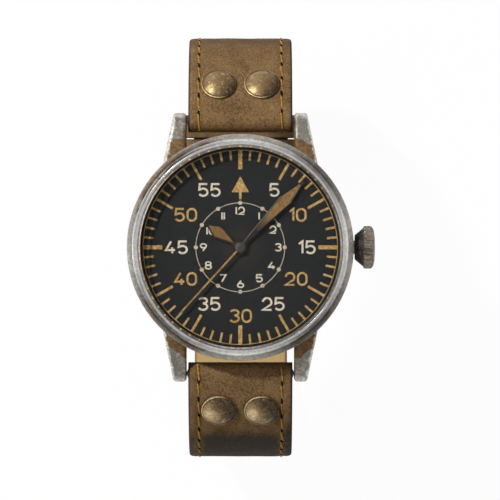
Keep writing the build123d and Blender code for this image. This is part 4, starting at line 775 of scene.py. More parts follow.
@dataclass(frozen=True)
class StrapShape:
    """Side view of one strap half, seen with its reach outwards and its height up."""

    side: int
    curl_radius: float
    flat_height: float
    end_reach: float
    reach: float = 39.9
    shoulder_radius: float = 22.0
    shoulder_height: float = 33.195
    slope: float = 18.0
    thickness: float = 2.8
    leather: float = 1.6
    fold_radius: float = 2.1
    bar_reach: float = 23.5
    bar_height: float = 52.3
    cut_angle: float = 45.0
    half_width: float = 9.7
    end_half_width: float = 9.1
    low_edge: float = -1.0

    def shoulder(self, depth: float, angle: float) -> Point2:
        """Point of the shoulder at a depth under the outer face."""
        centre = (self.reach - self.shoulder_radius, self.shoulder_height)
        return round_about(centre, self.shoulder_radius - depth, angle)

    def fold(self, angle: float) -> Point2:
        """Point of the fold round the spring bar."""
        return round_about((self.bar_reach, self.bar_height), self.fold_radius, angle)

    def curl(self, depth: float, angle: float) -> Point2:
        """Point of the lower curl at a depth under the outer face."""
        centre = (self.reach - self.curl_radius, self.flat_height + self.curl_radius)
        return round_about(centre, self.curl_radius - depth, angle)

    def lower_run(self, depth: float, step: float) -> list[Point2]:
        """Points from the shoulder's foot round the curl to the flat end.

        Args:
            depth: Depth under the outer face.
            step: Length of the steps along the outer face.

        Returns:
            The points, the foot left out.
        """
        points = []
        drop = self.shoulder_height - self.flat_height - self.curl_radius
        for share in shares(max(1, round(drop / step))):
            points.append((self.reach - depth, self.shoulder_height - drop * share))
        for share in shares(round(self.curl_radius * pi / 2 / step)):
            points.append(self.curl(depth, -90 * share))
        start = self.reach - self.curl_radius
        for share in shares(round(abs(start - self.end_reach) / step)):
            points.append((start + (self.end_reach - start) * share, self.flat_height + depth))
        return points

    def half_width_at(self, height: float) -> float:
        """Half the strap's width at a height of its side view."""
        share = (height - self.low_edge) / (self.shoulder_height - self.low_edge)
        return self.end_half_width + (self.half_width - self.end_half_width) * min(1.0, max(0.0, share))


def shares(count: int) -> list[float]:
    """Shares above 0 and up to 1 in equal steps."""
    return [(index + 1) / count for index in range(count)]


LONG_HALF = StrapShape(side=-1, curl_radius=21.995, flat_height=0.0, end_reach=-24.0)
SHORT_HALF = StrapShape(side=1, curl_radius=17.995, flat_height=7.5, end_reach=16.4)


def tangent_arc(start: Point2, heading: Point2, end: Point2, count: int) -> list[Point2]:
    """Points of the arc that leaves a point along a heading and meets an end.

    Args:
        start: Where the arc leaves.
        heading: Its direction there.
        end: Where it ends.
        count: Steps along it.

    Returns:
        The points after the start, up to the end.
    """
    first = Vector(start)
    along = Vector(heading).normalized()
    across = Vector((-along.y, along.x))
    chord = Vector(end) - first
    radius = chord.length_squared / (2 * chord.dot(across))
    centre = first + across * radius
    begin = atan2(start[1] - centre.y, start[0] - centre.x)
    finish = atan2(end[1] - centre.y, end[0] - centre.x)
    sweep = (finish - begin + pi) % tau - pi
    return [round_about(centre, abs(radius), degrees(begin + sweep * share)) for share in shares(count)]


@dataclass
class SheetRows:
    """The two faces of a strap layer as paired points, with the length along the outer face."""

    upper: list[Point2] = field(default_factory=list)
    lower: list[Point2] = field(default_factory=list)

    def lengths(self) -> list[float]:
        """Length from the fold to each point of the outer face."""
        sums = [0.0]
        for before, here in zip(self.upper, self.upper[1:]):
            sums.append(sums[-1] + hypot(here[0] - before[0], here[1] - before[1]))
        return sums


def leather_rows(shape: StrapShape, fine: float = 0.32, coarse: float = 0.9) -> SheetRows:
    """Paired points of the outer leather, from the fold's face to the flat end.

    Args:
        shape: The half's side view.
        fine: Step over the fold and the shoulder.
        coarse: Step of the lower run.

    Returns:
        The rows.
    """
    rows = SheetRows()
    bend_count = 14
    for index in range(bend_count):
        share = index / bend_count
        rows.upper.append(shape.fold(180 - (90 + shape.slope) * share))
        rows.lower.append(shape.fold(180 + 90 * share))
    top_angle = 90 - shape.slope
    slope_start = Vector(shape.fold(top_angle))
    slope_end = Vector(shape.shoulder(0, top_angle))
    slope_count = max(2, round((slope_end - slope_start).length / fine))
    upper_count = round(shape.shoulder_radius * radians(top_angle - shape.cut_angle) / fine)
    rows.upper += [tuple(slope_start.lerp(slope_end, share)) for share in (0.0, *shares(slope_count))]
    rows.upper += [
        shape.shoulder(0, top_angle + (shape.cut_angle - top_angle) * share) for share in shares(upper_count)
    ]
    turn = radians(shape.cut_angle)
    cut = shape.shoulder(shape.thickness, shape.cut_angle)
    arc = tangent_arc(cut, (-sin(turn), cos(turn)), shape.fold(270), slope_count + upper_count)
    rows.lower += [shape.fold(270), *arc[-2::-1], cut]
    for share in shares(round(shape.shoulder_radius * turn / fine)):
        angle = shape.cut_angle * (1 - share)
        rows.upper.append(shape.shoulder(0, angle))
        rows.lower.append(shape.shoulder(shape.leather, angle))
    rows.upper += shape.lower_run(0, coarse)
    rows.lower += shape.lower_run(shape.leather, coarse)
    return rows


def lining_rows(shape: StrapShape, fine: float = 0.6, coarse: float = 0.9) -> SheetRows:
    """Paired points of the lining, from its cut on the shoulder to the flat end.

    Args:
        shape: The half's side view.
        fine: Step over the shoulder.
        coarse: Step of the lower run.

    Returns:
        The rows.
    """
    rows = SheetRows()
    count = round(shape.shoulder_radius * radians(shape.cut_angle) / fine)
    for depth, face in ((shape.leather, rows.upper), (shape.thickness, rows.lower)):
        face += [shape.shoulder(depth, shape.cut_angle * (1 - share)) for share in (0.0, *shares(count))]
        face += shape.lower_run(depth, coarse)
    return rows


SHEET_ANGLE = 50.0
Relief = Callable[[float, float, float], float]
WidthAt = Callable[[float, float], float]


@dataclass(frozen=True)
class SheetStyle:
    """How a strap layer's mesh is cut across and how its edges round off."""

    across: int = 54
    rounding: float = 0.5
    rounding_steps: int = 4
    inset: float = 0.0


def sheet_object(
    name: str, rows: SheetRows, side: int, width_at: WidthAt, style: SheetStyle, relief: Relief, soil: Relief,
) -> Object:
    """Make a strap layer with width, rounded edges and relief.

    Args:
        name: The object's name.
        rows: Its paired points in the side view.
        side: 1 where the reach runs towards 12 o'clock, -1 towards 6.
        width_at: Half width at a reach and a height.
        style: How the mesh is cut.
        relief: Height to add on the outer face at an offset across, a length along and a half width.
        soil: Dirt, painted shade and painted shadow at the same three, from 0 to 1.

    Returns:
        The layer's object, with its wear, which rises to 1 at its edges, and its soil, which holds dirt and
        painted shade.
    """
    stations = []
    for index in range(style.rounding_steps + 1):
        turn = pi / 2 * index / style.rounding_steps
        stations.append((-style.rounding * cos(turn), style.rounding * (1 - sin(turn))))
    columns = [(-1.0, offset, drop) for offset, drop in stations]
    columns += [(-1.0 + 2.0 * index / style.across, 0.0, 0.0) for index in range(1, style.across)]
    columns += [(1.0, -offset, drop) for offset, drop in reversed(stations)]
    count = len(rows.upper)
    along = rows.lengths()
    places = [(row, True) for row in range(count)] + [(row, False) for row in range(count - 1, 0, -1)]
    points: list[Point3] = []
    wear: list[float] = []
    grime_and_shade_values: list[float] = []
    for share, offset, drop in columns:
        for row, outside in places:
            upper = Vector(rows.upper[row])
            lower = Vector(rows.lower[row])
            width = width_at(*rows.upper[row]) - style.inset
            x = share * (width - style.rounding) + offset
            gap = lower - upper
            depth = gap.length
            inwards = gap / depth if depth > 1e-6 else Vector((0.0, 0.0))
            spot = lower - inwards * min(drop, depth * 0.48)
            if outside:
                way = Vector(rows.upper[min(count - 1, row + 1)]) - Vector(rows.upper[max(0, row - 1)])
                outwards = Vector((-way.y, way.x)).normalized()
                if outwards.dot(gap) > 0:
                    outwards = -outwards
                spot = upper + inwards * min(drop, depth * 0.48) + outwards * relief(x, along[row], width)
            points.append((x, side * spot.x, spot.y))
            wear.append(smooth_step(abs(x), width - 0.55, width - 0.12))
            grime_and_shade_values.append(soil(x, along[row], width) if outside else 0.0)
    ring = 2 * count - 1
    faces: list[Face] = []
    for column in range(len(columns) - 1):
        faces += ring_indices(column * ring, (column + 1) * ring, ring)
    for base in (0, (len(columns) - 1) * ring):
        faces.append((base, base + 1, base + ring - 1))
        for row in range(1, count - 1):
            faces.append((base + row, base + row + 1, base + ring - 1 - row, base + ring - row))
    return make_object(name, points, faces, SHEET_ANGLE, {"wear": wear, "soil": grime_and_shade_values})


def cut_away(made: Object, cutters: Sequence[Object]) -> None:
    """Cut shapes out of an object and drop the cutters.

    Args:
        made: The object that is cut.
        cutters: Closed shapes, which may overlap one another.
    """
    for cutter in cutters:
        cut = made.modifiers.new("cut", "BOOLEAN")
        cut.operation = "DIFFERENCE"
        cut.solver = "MANIFOLD"
        cut.object = cutter
    bake(made)
    for cutter in cutters:
        spent = cutter.data
        bpy.data.objects.remove(cutter)
        bpy.data.meshes.remove(spent)
    made.data.materials.clear()
    shade(made.data, SHEET_ANGLE)


def rod(name: str, start: Sequence[float], end: Sequence[float], radius: float, sides: int = 24) -> Object:
    """A round rod between two points in millimetres."""
    turn = (Vector(end) - Vector(start)).to_track_quat("Z", "Y").to_matrix()
    points = []
    for centre in (Vector(start), Vector(end)):
        for step in range(sides):
            angle = tau * step / sides
            points.append(centre + turn @ Vector((radius * cos(angle), radius * sin(angle), 0.0)))
    return make_object(name, points, closed_tube(2, sides))


def grow(name: str, mesh: Mesh, tree: NodeTree, values: dict[str, object]) -> Object:
    """Run a geometry node group on a mesh and keep the result as a plain mesh.

    Args:
        name: The object's name.
        mesh: What the group starts from.
        tree: The group.
        values: Values of the group's inputs by name.

    Returns:
        The object.
    """
    made = link_object(name, mesh)
    maker = made.modifiers.new(tree.name, "NODES")
    maker.node_group = tree
    sockets = {item.name: item.identifier for item in tree.interface.items_tree if item.in_out == "INPUT"}
    for label, value in values.items():
        maker[sockets[label]] = value
    bake(made)
    return made


def build_thread_group() -> NodeTree:
    """Geometry nodes that lay one thread stitch on every point, along its stored directions.

    Returns:
        The node group.
    """
    graph, given, result = start_group("thread stitches", "GeometryNodeTree", {
        "Geometry": ("Geometry", None), "Length": ("Float", 3.0 * MM), "Thickness": ("Float", 0.2 * MM),
        "Rise": ("Float", 0.2 * MM), "Sink": ("Float", 0.3 * MM), "Seed": ("Int", 3),
        "Thread": ("Material", None),
    }, {"Geometry": "Geometry"})
    size = given.outputs
    half = graph.times(size["Length"], 0.5)
    down = graph.times(size["Sink"], -1.0)
    arc = graph.node("GeometryNodeCurveQuadraticBezier", {
        "Resolution": 7,
        "Start": graph.node("ShaderNodeCombineXYZ", {0: graph.times(half, -1.0), 2: down}).outputs[0],
        "Middle": graph.node("ShaderNodeCombineXYZ", {2: graph.times(size["Rise"], 3.0)}).outputs[0],
        "End": graph.node("ShaderNodeCombineXYZ", {0: half, 2: down}).outputs[0],
    })
    profile = graph.node(
        "GeometryNodeCurvePrimitiveCircle", {"Resolution": 7, "Radius": size["Thickness"]}, mode="RADIUS")
    thread = graph.node("GeometryNodeCurveToMesh", {
        "Curve": arc.outputs[0], "Profile Curve": profile.outputs[0], "Fill Caps": True,
    })
    along, up = (
        graph.node("GeometryNodeInputNamedAttribute", {"Name": label}, data_type="FLOAT_VECTOR").outputs[0]
        for label in ("along", "up")
    )
    first = graph.node("FunctionNodeAlignRotationToVector", {"Vector": along}, axis="X")
    second = graph.node(
        "FunctionNodeAlignRotationToVector", {"Rotation": first.outputs[0], "Vector": up},
        axis="Z", pivot_axis="X")
    vary = graph.node("FunctionNodeRandomValue", {2: 0.9, 3: 1.06, "Seed": size["Seed"]}, data_type="FLOAT")
    placed = graph.node("GeometryNodeInstanceOnPoints", {
        "Points": size["Geometry"], "Instance": thread.outputs[0],
        "Rotation": second.outputs[0], "Scale": vary.outputs[1],
    })
    finish_group(graph, placed, size["Thread"], result, smooth=True)
    return graph.tree


def finish_group(graph: Graph, placed: Node, material: NodeSocket, result: Node, smooth: bool = False) -> None:
    """Turn the instances that a geometry group placed into mesh, paint it and hand it out."""
    last = graph.node("GeometryNodeRealizeInstances", {"Geometry": placed.outputs[0]})
    if smooth:
        last = graph.node("GeometryNodeSetShadeSmooth", {"Geometry": last.outputs[0]})
    painted = graph.node("GeometryNodeSetMaterial", {"Geometry": last.outputs[0], "Material": material})
    graph.feed(result, {0: painted.outputs[0]})


THREADS = build_thread_group()


@dataclass(frozen=True)
class ThreadStyle:
    """Sizes of a sewn row, in millimetres."""

    pitch: float = 3.7
    length: float = 2.85
    thickness: float = 0.18
    rise: float = 0.12
    sink: float = 0.16


@dataclass(frozen=True)
class SeamPoint:
    """Where one stitch lies: its place, its run and the way out of the leather."""

    place: Vector
    along: Vector
    up: Vector


def sew(name: str, seam: Sequence[SeamPoint], style: ThreadStyle, material: Material) -> Object:
    """Lay stitches on a seam and keep them as one plain mesh.

    Args:
        name: The object's name.
        seam: The stitches' places, in millimetres.
        style: The thread's sizes.
        material: The thread's material.

    Returns:
        The object with every stitch.
    """
    mesh = raw_mesh(name, [point.place for point in seam], [])
    for label, vectors in (("along", [point.along for point in seam]), ("up", [point.up for point in seam])):
        stored = mesh.attributes.new(label, "FLOAT_VECTOR", "POINT")
        stored.data.foreach_set("vector", [value for vector in vectors for value in vector])
    return grow(name, mesh, THREADS, {
        "Length": style.length * MM, "Thickness": style.thickness * MM, "Rise": style.rise * MM,
        "Sink": style.sink * MM, "Thread": material,
    })


@dataclass(frozen=True)
class RivetSize:
    """A domed strap rivet, in millimetres."""

    reach: float = 30.4
    half_spacing: float = 4.0
    radius: float = 3.3
    height: float = 1.15
    lip: float = 0.25
    base_radius: float = 2.4
    base_thickness: float = 0.5
    grip: float = 3.68

    def cap_profile(self) -> list[Point2]:
        """Radius and height of the domed cap with its rolled rim."""
        dome_edge = self.radius - 0.34
        foot = self.lip + 0.08
        rise = self.height - foot
        ball = (dome_edge ** 2 + rise ** 2) / (2 * rise)
        span = asin(dome_edge / ball)
        profile = [(0.0, self.height)]
        for share in shares(14):
            angle = span * share
            profile.append((ball * sin(angle), self.height - ball * (1 - cos(angle))))
        profile.append((dome_edge + 0.05, self.lip - 0.06))
        for index in range(7):
            angle = pi - pi * 1.15 * index / 6
            profile.append((self.radius - 0.13 + 0.13 * cos(angle), self.lip - 0.05 + 0.13 * sin(angle)))
        profile.append((self.radius - 0.02, 0.0))
        profile.append((0.0, 0.0))
        return profile


@dataclass
class RivetPair:
    """The two rivets of one strap half."""

    shape: StrapShape
    body: Body
    size: RivetSize = field(default_factory=RivetSize)

    def shade(self, place: Vector) -> float:
        """Painted shade of a cap, darker towards its lower right on the short half and its upper right on the
        long one, with real dark patina round its rim.
        """
        reach = hypot(place.x, place.y)
        rise = -0.53 if self.shape.side > 0 else 0.6
        lean = 0.85 * place.x + rise * place.y + 0.7 * rough_at(place.x, place.y, 1.0, 1.1)
        rim = 0.5 * hump(reach, 2.98, 0.12)
        start = 0.0 if self.shape.side > 0 else -1.2
        return min(0.85, max(0.0, 0.76 * smooth_step(lean, start, start + 2.8) + rim))

    def wear(self, place: Vector) -> float:
        """Painted highlight of a cap: a faint spot at upper left on the short half, a strong one at lower left
        on the long half, and a line on its lip, at lower left on the short half and upper left on the long one.
        """
        reach = hypot(place.x, place.y)
        side = self.shape.side
        centre = (-1.3, 1.0) if side > 0 else (-1.75, -0.55)
        crown = (0.25 if side > 0 else 1.0) * hump(hypot(place.x - centre[0], place.y - centre[1]), 0.0, 1.25)
        lip = 0.9 * hump(reach, 3.2, 0.12) * smooth_step(-0.7 * place.x - 0.7 * side * place.y, 0.6, 2.6)
        return min(1.0, crown + lip)

    def seat(self) -> Matrix:
        """Where the rivets' middle sits on the shoulder, its Z out of the leather."""
        centre = self.shape.reach - self.shape.shoulder_radius
        angle = acos((self.size.reach - centre) / self.shape.shoulder_radius)
        spot = self.shape.shoulder(0, degrees(angle))
        out = Vector((0.0, self.shape.side * cos(angle), sin(angle)))
        across = Vector((1.0, 0.0, 0.0))
        turned = Matrix((across, out.cross(across), out)).transposed().to_4x4()
        return Matrix.Translation(Vector((0.0, self.shape.side * spot[0], spot[1])) * MM) @ turned

    def post_profile(self) -> list[Point2]:
        """Radius and height of a rivet's post with its base inside the strap."""
        size = self.size
        grip = -size.grip
        foot = grip - size.base_thickness
        return [
            (0.0, 0.2), (0.7, 0.2), (0.7, grip + 0.1), (size.base_radius - 0.15, grip),
            (size.base_radius, grip - 0.12), (size.base_radius, foot + 0.15), (size.base_radius - 0.2, foot),
            (0.0, foot),
        ]

    def build(self, palette: "Palette", half: str) -> None:
        """Make the caps and the bases of the pair.

        Args:
            palette: The finishes.
            half: The half's name in the CAD nodes.
        """
        caps = []
        bases = []
        for sign in (-1, 1):
            cap = lathe(f"rivet_cap_{sign}", self.size.cap_profile(), 56, 38.0)
            # Painted shade with real patina round the rim, and painted highlights, on each cap.
            paint(cap, "dark", self.shade)
            paint(cap, "edge", self.wear)
            base = lathe(f"rivet_base_{sign}", self.post_profile(), 40, 38.0)
            place = self.seat() @ Matrix.Translation((sign * self.size.half_spacing * MM, 0.0, 0.0))
            for made, gathered in ((cap, caps), (base, bases)):
                made.data.transform(place)
                gathered.append(made)
        dress(join_all(f"look_rivet_caps_{half}", caps), palette.rivet, self.body, f"rivet_caps_{half}")
        dress(join_all(f"look_rivet_posts_{half}", bases), palette.rivet_base, self.body, f"rivet_posts_{half}")


RIVET_ACROSS = (-4.0, 4.0)
RIVET_ALONG = 12.2
BAR_BORE = 0.84


@dataclass
class StrapHalf:
    """One half of the strap: leather, lining, sewn rows and rivets."""

    shape: StrapShape
    body: Body
    half: str
    seam_offset: float = 7.75
    first_stitch: float = 3.0
    last_stitch: float = 8.0
    tip_corner: float = 17.0
    tip_end: float = 24.0
    tip_half_width: float = 3.2

    def width_at(self, reach: float, height: float) -> float:
        """Half width, drawn in towards the pointed end of the long half."""
        width = self.shape.half_width_at(height)
        if self.shape.side > 0 or reach > -self.tip_corner:
            return width
        share = (-reach - self.tip_corner) / (self.tip_end - self.tip_corner)
        narrow = width - self.tip_half_width
        return width - narrow * share ** 2.2

    def relief(self, x: float, along: float, width: float) -> float:
        """Height of the leather's outer face over its flat shape.

        Args:
            x: Offset across.
            along: Length from the fold's face.
            width: Half width there.

        Returns:
            The height, in millimetres.
        """
        seam = hump(abs(x), self.seam_offset, 0.42)
        shoulder = smooth_step(abs(x), self.seam_offset, width)
        lift = -0.1 * seam - 0.14 * shoulder * shoulder
        swell = rough_at(x, along, 3.0 * self.shape.side, 3.4) * 0.05
        nap = rough_at(x, along, 11.0 * self.shape.side, 0.9) * 0.018
        for across in RIVET_ACROSS:
            reach = hypot(x - across, along - RIVET_ALONG)
            lift -= 0.13 * hump(reach, 3.45, 0.75)
            lift += 0.06 * hump(reach, 4.9, 0.8)
        return lift + swell + nap - 0.06

    def soil(self, x: float, along: float, width: float) -> float:
        """Grey dirt on the long half, where the strap bends below its rivets, with a painted shadow in a
        crescent above each rivet; painted shade on the short half, darker beyond its rivets where it bends
        away.

        Args:
            x: Offset across.
            along: Length from the fold's face.
            width: Half width there.

        Returns:
            The dirt and painted shade, from 0 to 1.
        """
        # Painted shade: the short half darkens beyond its rivets, where it bends away from the light.
        if self.shape.side > 0:
            low = 0.1 * smooth_step(along, 14.0, 24.0)
            return max(low, 0.46 * smooth_step(along, 19.0, 26.0)) * (1 - smooth_step(along, 40.0, 52.0))
        start = 15.4 + 1.1 * rough_at(x, 0.0, 5.0, 4.0) + 0.9 * smooth_step(abs(x), 4.6, 6.8)
        start -= 2.6 * smooth_step(x, 7.4, 8.8)
        body = smooth_step(along, start - 1.9, start + 4.0) * (1 - smooth_step(along, 40.0, 52.0))
        spared = 0.5 * hump(abs(x), self.seam_offset, 0.8) + 0.3 * smooth_step(-x, 7.9, 8.6)
        smear = 0.34 * hump(x, -width, 2.6) * hump(along, 9.0, 6.0)
        # Painted shadow: a dark crescent on the leather above each rivet, on its side towards the case.
        ring = 0.0
        for across in RIVET_ACROSS:
            reach = hypot(x - across, along - RIVET_ALONG)
            upper = smooth_step(RIVET_ALONG - along + 0.4 * (x - across), -0.6, 1.8)
            ring = max(ring, 0.95 * hump(reach, 3.52, 0.24) * upper)
        return max(smear, ring, body * (1 - spared))

    def seam_points(self, rows: SheetRows, style: ThreadStyle, shift: float = 0.0) -> list[SeamPoint]:
        """Places of the stitches of both rows.

        Args:
            rows: The leather's paired points.
            style: The thread's sizes.
            shift: Length that moves every stitch along its row, in stitches.

        Returns:
            The stitches' places.
        """
        lengths = rows.lengths()
        side = self.shape.side
        points = []
        for sign in (-1, 1):
            reach = self.first_stitch + style.pitch * (shift + (0.1 if sign > 0 else 0.0))
            count = 0.0
            while reach < lengths[-1] - self.last_stitch:
                row = next(i for i, value in enumerate(lengths) if value >= reach)
                before = Vector(rows.upper[row - 1])
                after = Vector(rows.upper[row])
                spot = before.lerp(after, (reach - lengths[row - 1]) / (lengths[row] - lengths[row - 1]))
                way = (after - before).normalized()
                out = Vector((-way.y, way.x))
                if out.dot(Vector(rows.lower[row]) - spot) > 0:
                    out = -out
                width = self.width_at(spot.x, spot.y)
                wander = 0.09 * rough_at(count, 3.0 * sign, 7.0 * side, 0.7)
                x = (sign * self.seam_offset + wander) * width / self.shape.half_width
                skew = 0.05 * rough_at(count, 5.0 * sign, 1.0 * side, 0.8) - 0.1 * side
                spot += out * self.relief(x, reach, width)
                points.append(SeamPoint(
                    Vector((x, side * spot.x, spot.y)),
                    Vector((skew, side * way.x, way.y)).normalized(),
                    Vector((0.0, side * out.x, out.y)),
                ))
                count += 1
                reach += style.pitch
        return points

    def build(self, palette: "Palette", lining: Material) -> None:
        """Make the leather, its lining, its stitches and their holes.

        Args:
            palette: The finishes.
            lining: Material of the lining.
        """
        rows = leather_rows(self.shape)
        outer = sheet_object(
            f"look_strap_{self.half}", rows, self.shape.side, self.width_at, SheetStyle(),
            self.relief, self.soil)
        under = sheet_object(
            f"look_lining_{self.half}", lining_rows(self.shape), self.shape.side, self.width_at,
            SheetStyle(across=30, rounding=0.3, rounding_steps=3, inset=0.12),
            lambda x, along, width: -0.02, lambda x, along, width: 0.0)
        cut_away(outer, self.cutters())
        cut_away(under, self.cutters())
        style = ThreadStyle()
        sewn = sew(f"look_thread_{self.half}", self.seam_points(rows, style), style, palette.thread)
        pits = ThreadStyle(style.pitch, 1.2, 0.27, 0.0, 0.22)
        between = self.seam_points(rows, style, 0.5)
        holes = sew(f"look_stitch_holes_{self.half}", between, pits, palette.stitch_hole)
        dress(outer, palette.leather, self.body, f"strap_{self.half}")
        dress(under, lining, self.body, f"strap_{self.half}_lining")
        dress(sewn, palette.thread, self.body)
        dress(holes, palette.stitch_hole, self.body)

    def cutters(self) -> list[Object]:
        """Shapes of the bar's bore, and of the strap's holes or slot."""
        bar = (self.shape.side * self.shape.bar_reach, self.shape.bar_height)
        found = [rod("bore", (-12, *bar), (12, *bar), BAR_BORE)]
        if self.shape.side < 0:
            for index in range(6):
                y = -14.0 + 6.0 * index
                found.append(rod(f"hole_{index}", (0, y, -1), (0, y, 5), 0.9))
        else:
            found.append(flat_plate("slot", [(-1.3, 9.4), (1.3, 9.4), (1.3, 17.9), (-1.3, 17.9)], 6.0, 11.0))
            found.append(rod("buckle bore", (-12, 15.0, 8.9), (12, 15.0, 8.9), BAR_BORE))
        return found


def part_finish(made: Object, materials: Sequence[Material], second: Point3) -> None:
    """Give a turned piece two finishes.

    Args:
        made: The piece.
        materials: Its two materials.
        second: Where the second one is: between two distances from the axis and above a height.
    """
    inner, outer, low = second
    for material in materials:
        made.data.materials.append(material)
    for face in made.data.polygons:
        place = face.center / MM
        if inner < hypot(place.x, place.y) < outer and place.z > low:
            face.material_index = 1


@dataclass
class CaseHead:
    """Bezel, crystal, middle case and crown."""

    middle_top: float = 57.9
    bezel_top: float = 60.3
    crystal_top: float = 61.0
    case_radius: float = 21.0
    crystal_rim: float = 18.5
    crown_axis: float = 54.5
    flutes: int = 22
    flute_depth: float = 0.34

    def build_bezel(self, palette: "Palette") -> None:
        """Turn the bezel, its bead and land polished."""
        bezel = lathe("look_bezel", round_corners([
            (19.40, self.middle_top, 0.0), (20.88, self.middle_top, 0.06), (self.case_radius, 58.02, 0.06),
            (self.case_radius, 58.62, 0.16), (20.06, 60.0, 0.14), (19.93, 60.2, 0.07), (19.6, 60.2, 0.06),
            (19.58, 60.0, 0.03), (19.37, 60.0, 0.03), (19.35, self.bezel_top, 0.05),
            (19.0, self.bezel_top, 0.03), (19.0, 59.2, 0.0), (18.85, 59.2, 0.0), (18.85, 58.75, 0.0),
            (19.40, 58.75, 0.0),
        ]), 256, 24.0)
        # Real tarnish, painted dark reflections at the diagonals, and painted highlights at the quarters and
        # round the rim.
        for name, mask in (("stain", bezel_stain), ("dark", bezel_oxide), ("edge", bezel_wear)):
            paint(bezel, name, mask)
        part_finish(bezel, (palette.bezel, palette.polished), (18.9, 19.97, 59.5))
        dress(bezel, palette.bezel, Body.CASE, "bezel")

    def build_crystal(self, palette: "Palette") -> None:
        """Turn the crystal, its bevelled rim ground."""
        crystal = lathe("look_crystal", [
            (0.0, 59.4), (18.8, 59.4), (18.84, 59.45), (18.84, 60.62), (18.8, 60.7), (self.crystal_rim, 60.98),
            (18.4, self.crystal_top), (0.0, self.crystal_top),
        ], 192, 20.0)
        # Painted dark reflections and painted highlights on the crystal's ground rim.
        paint(crystal, "dark", bezel_oxide)
        paint(crystal, "edge", rim_wear)
        part_finish(crystal, (palette.glass, palette.bevel), (self.crystal_rim, self.case_radius, 60.6))
        dress(crystal, palette.glass, Body.CASE, "crystal")

    def build_rim_marks(self, palette: "Palette") -> None:
        """Paint reflections of the minute ticks on the crystal's ground rim, one at each minute, as its bevel
        would show them.
        """
        points = []
        for minute in range(60):
            half = 0.8 if minute % 5 == 0 else 0.5
            for turn, reach, height in ((-half, 18.8, 60.71), (half, 18.8, 60.71), (half, 18.54, 60.95),
                                        (-half, 18.54, 60.95)):
                points.append((*clock_point(reach, 6.0 * minute + turn), height + 0.012))
        faces = [(4 * i + 3, 4 * i + 2, 4 * i + 1, 4 * i) for i in range(60)]
        dress(make_object("look_rim_marks", points, faces), palette.ochre, Body.CASE)

    def build_middle(self, palette: "Palette") -> None:
        """Round the middle case's edges and stain its lugs."""
        middle = cad_copy("case_middle", "look_case_middle", 0.16, nicks=0.7, net=0.5)
        paint(middle, "stain", case_stain)
        # Painted highlights along the lugs' outer edges and on their tips.
        paint(middle, "edge", case_wear)
        dress(middle, palette.steel, Body.CASE, "case_middle")

    def build_crown(self, palette: "Palette") -> None:
        """Make the crown with its rounded flutes and its dark cone."""
        per_flute = 12
        count = self.flutes * per_flute
        stations = [
            (22.80, 3.55, 0.0), (22.92, 3.86, 0.5), (23.05, 3.97, 0.9), (23.25, 4.0, 1.0), (23.6, 4.0, 1.0),
            (24.0, 4.0, 1.0), (24.25, 3.95, 0.9), (24.45, 3.82, 0.6), (24.6, 3.62, 0.2), (24.72, 3.4, 0.0),
            (24.86, 2.9, 0.0), (24.95, 2.2, 0.0), (25.0, 1.2, 0.0), (25.02, 0.05, 0.0),
        ]
        points = []
        for x, radius, depth in stations:
            for step in range(count):
                turn = tau * step / count
                valley = (0.5 - 0.5 * cos(tau * (step % per_flute) / per_flute)) ** 1.6
                reach = radius - self.flute_depth * depth * (1 - valley)
                points.append((x, reach * cos(turn), self.crown_axis + reach * sin(turn)))
        grip = make_object("look_crown", points, closed_tube(len(stations), count), 42.0)
        grip.data.materials.append(palette.crown)
        cone = lathe("crown_cone", [
            (0.7, 21.25), (2.25, 21.25), (2.34, 21.34), (3.5, 22.7), (3.5, 22.86), (0.7, 22.86),
        ], 72)
        cone.data.transform(Matrix.Translation((0, 0, self.crown_axis * MM)) @ Matrix.Rotation(pi / 2, 4, "Y"))
        cone.data.materials.append(palette.neck)
        dress(join_all("look_crown", [grip, cone]), palette.crown, Body.CROWN, "crown")


def sectors(place: Vector, spans: Sequence[Point3]) -> float:
    """The strongest of several sectors, each with its strength, its clockwise angle and its width."""
    return max(strength * sector(place, angle, width) for strength, angle, width in spans)


def bezel_stain(place: Vector) -> float:
    """Tarnish of the bezel: deep at upper left, in patches below."""
    grain = 0.12 * rough_at(place.x, place.y, 0.0, 2.2)
    deep = 0.86 if hypot(place.x, place.y) > 19.95 else 0.3
    found = sectors(place, (
        (deep, -50.0, 20.0), (0.42, -18.0, 16.0), (0.3, 118.0, 20.0), (0.4, 147.0, 9.0), (0.36, -128.0, 12.0),
        (0.42, -152.0, 14.0),
    ))
    return max(0.0, found + grain * (found + 0.3))


def bezel_oxide(place: Vector) -> float:
    """Painted dark reflections on the bezel and the crystal's ground rim, at the four diagonals and faintly
    at the left: full on the slope, nearly full on the bead, inner wall and rim, faint on the flat land.
    """
    grain = 0.1 * rough_at(place.x, place.y, 4.0, 1.1)
    found = sectors(place, (
        (0.86, 46.0, 20.0), (1.0, 137.0, 24.0), (1.0, 225.0, 27.0), (1.0, 320.0, 24.0), (0.3, 275.0, 32.0),
    ))
    reach = hypot(place.x, place.y)
    land = 0.16 if 18.93 < reach < 19.5 else 0.9 if reach < 18.93 else 0.8 if reach < 20.0 else 1.0
    return min(1.0, max(0.0, (found + grain * (found + 0.2)) * land))


def bezel_wear(place: Vector) -> float:
    """Painted highlights on the bezel: a line round its outermost rim, and its bead and slope bright at its
    four quarters, the slope less and not at the far left.
    """
    reach = hypot(place.x, place.y)
    quarter = max(sector(place, angle, 15.0) for angle in (2.0, 83.0, 180.0, 270.0))
    share = 0.8 if 19.5 < reach < 20.02 else 0.24 if reach > 20.02 and place.x > -10.0 else 0.0
    return max(0.5 * hump(reach, 20.98, 0.09), share * quarter)


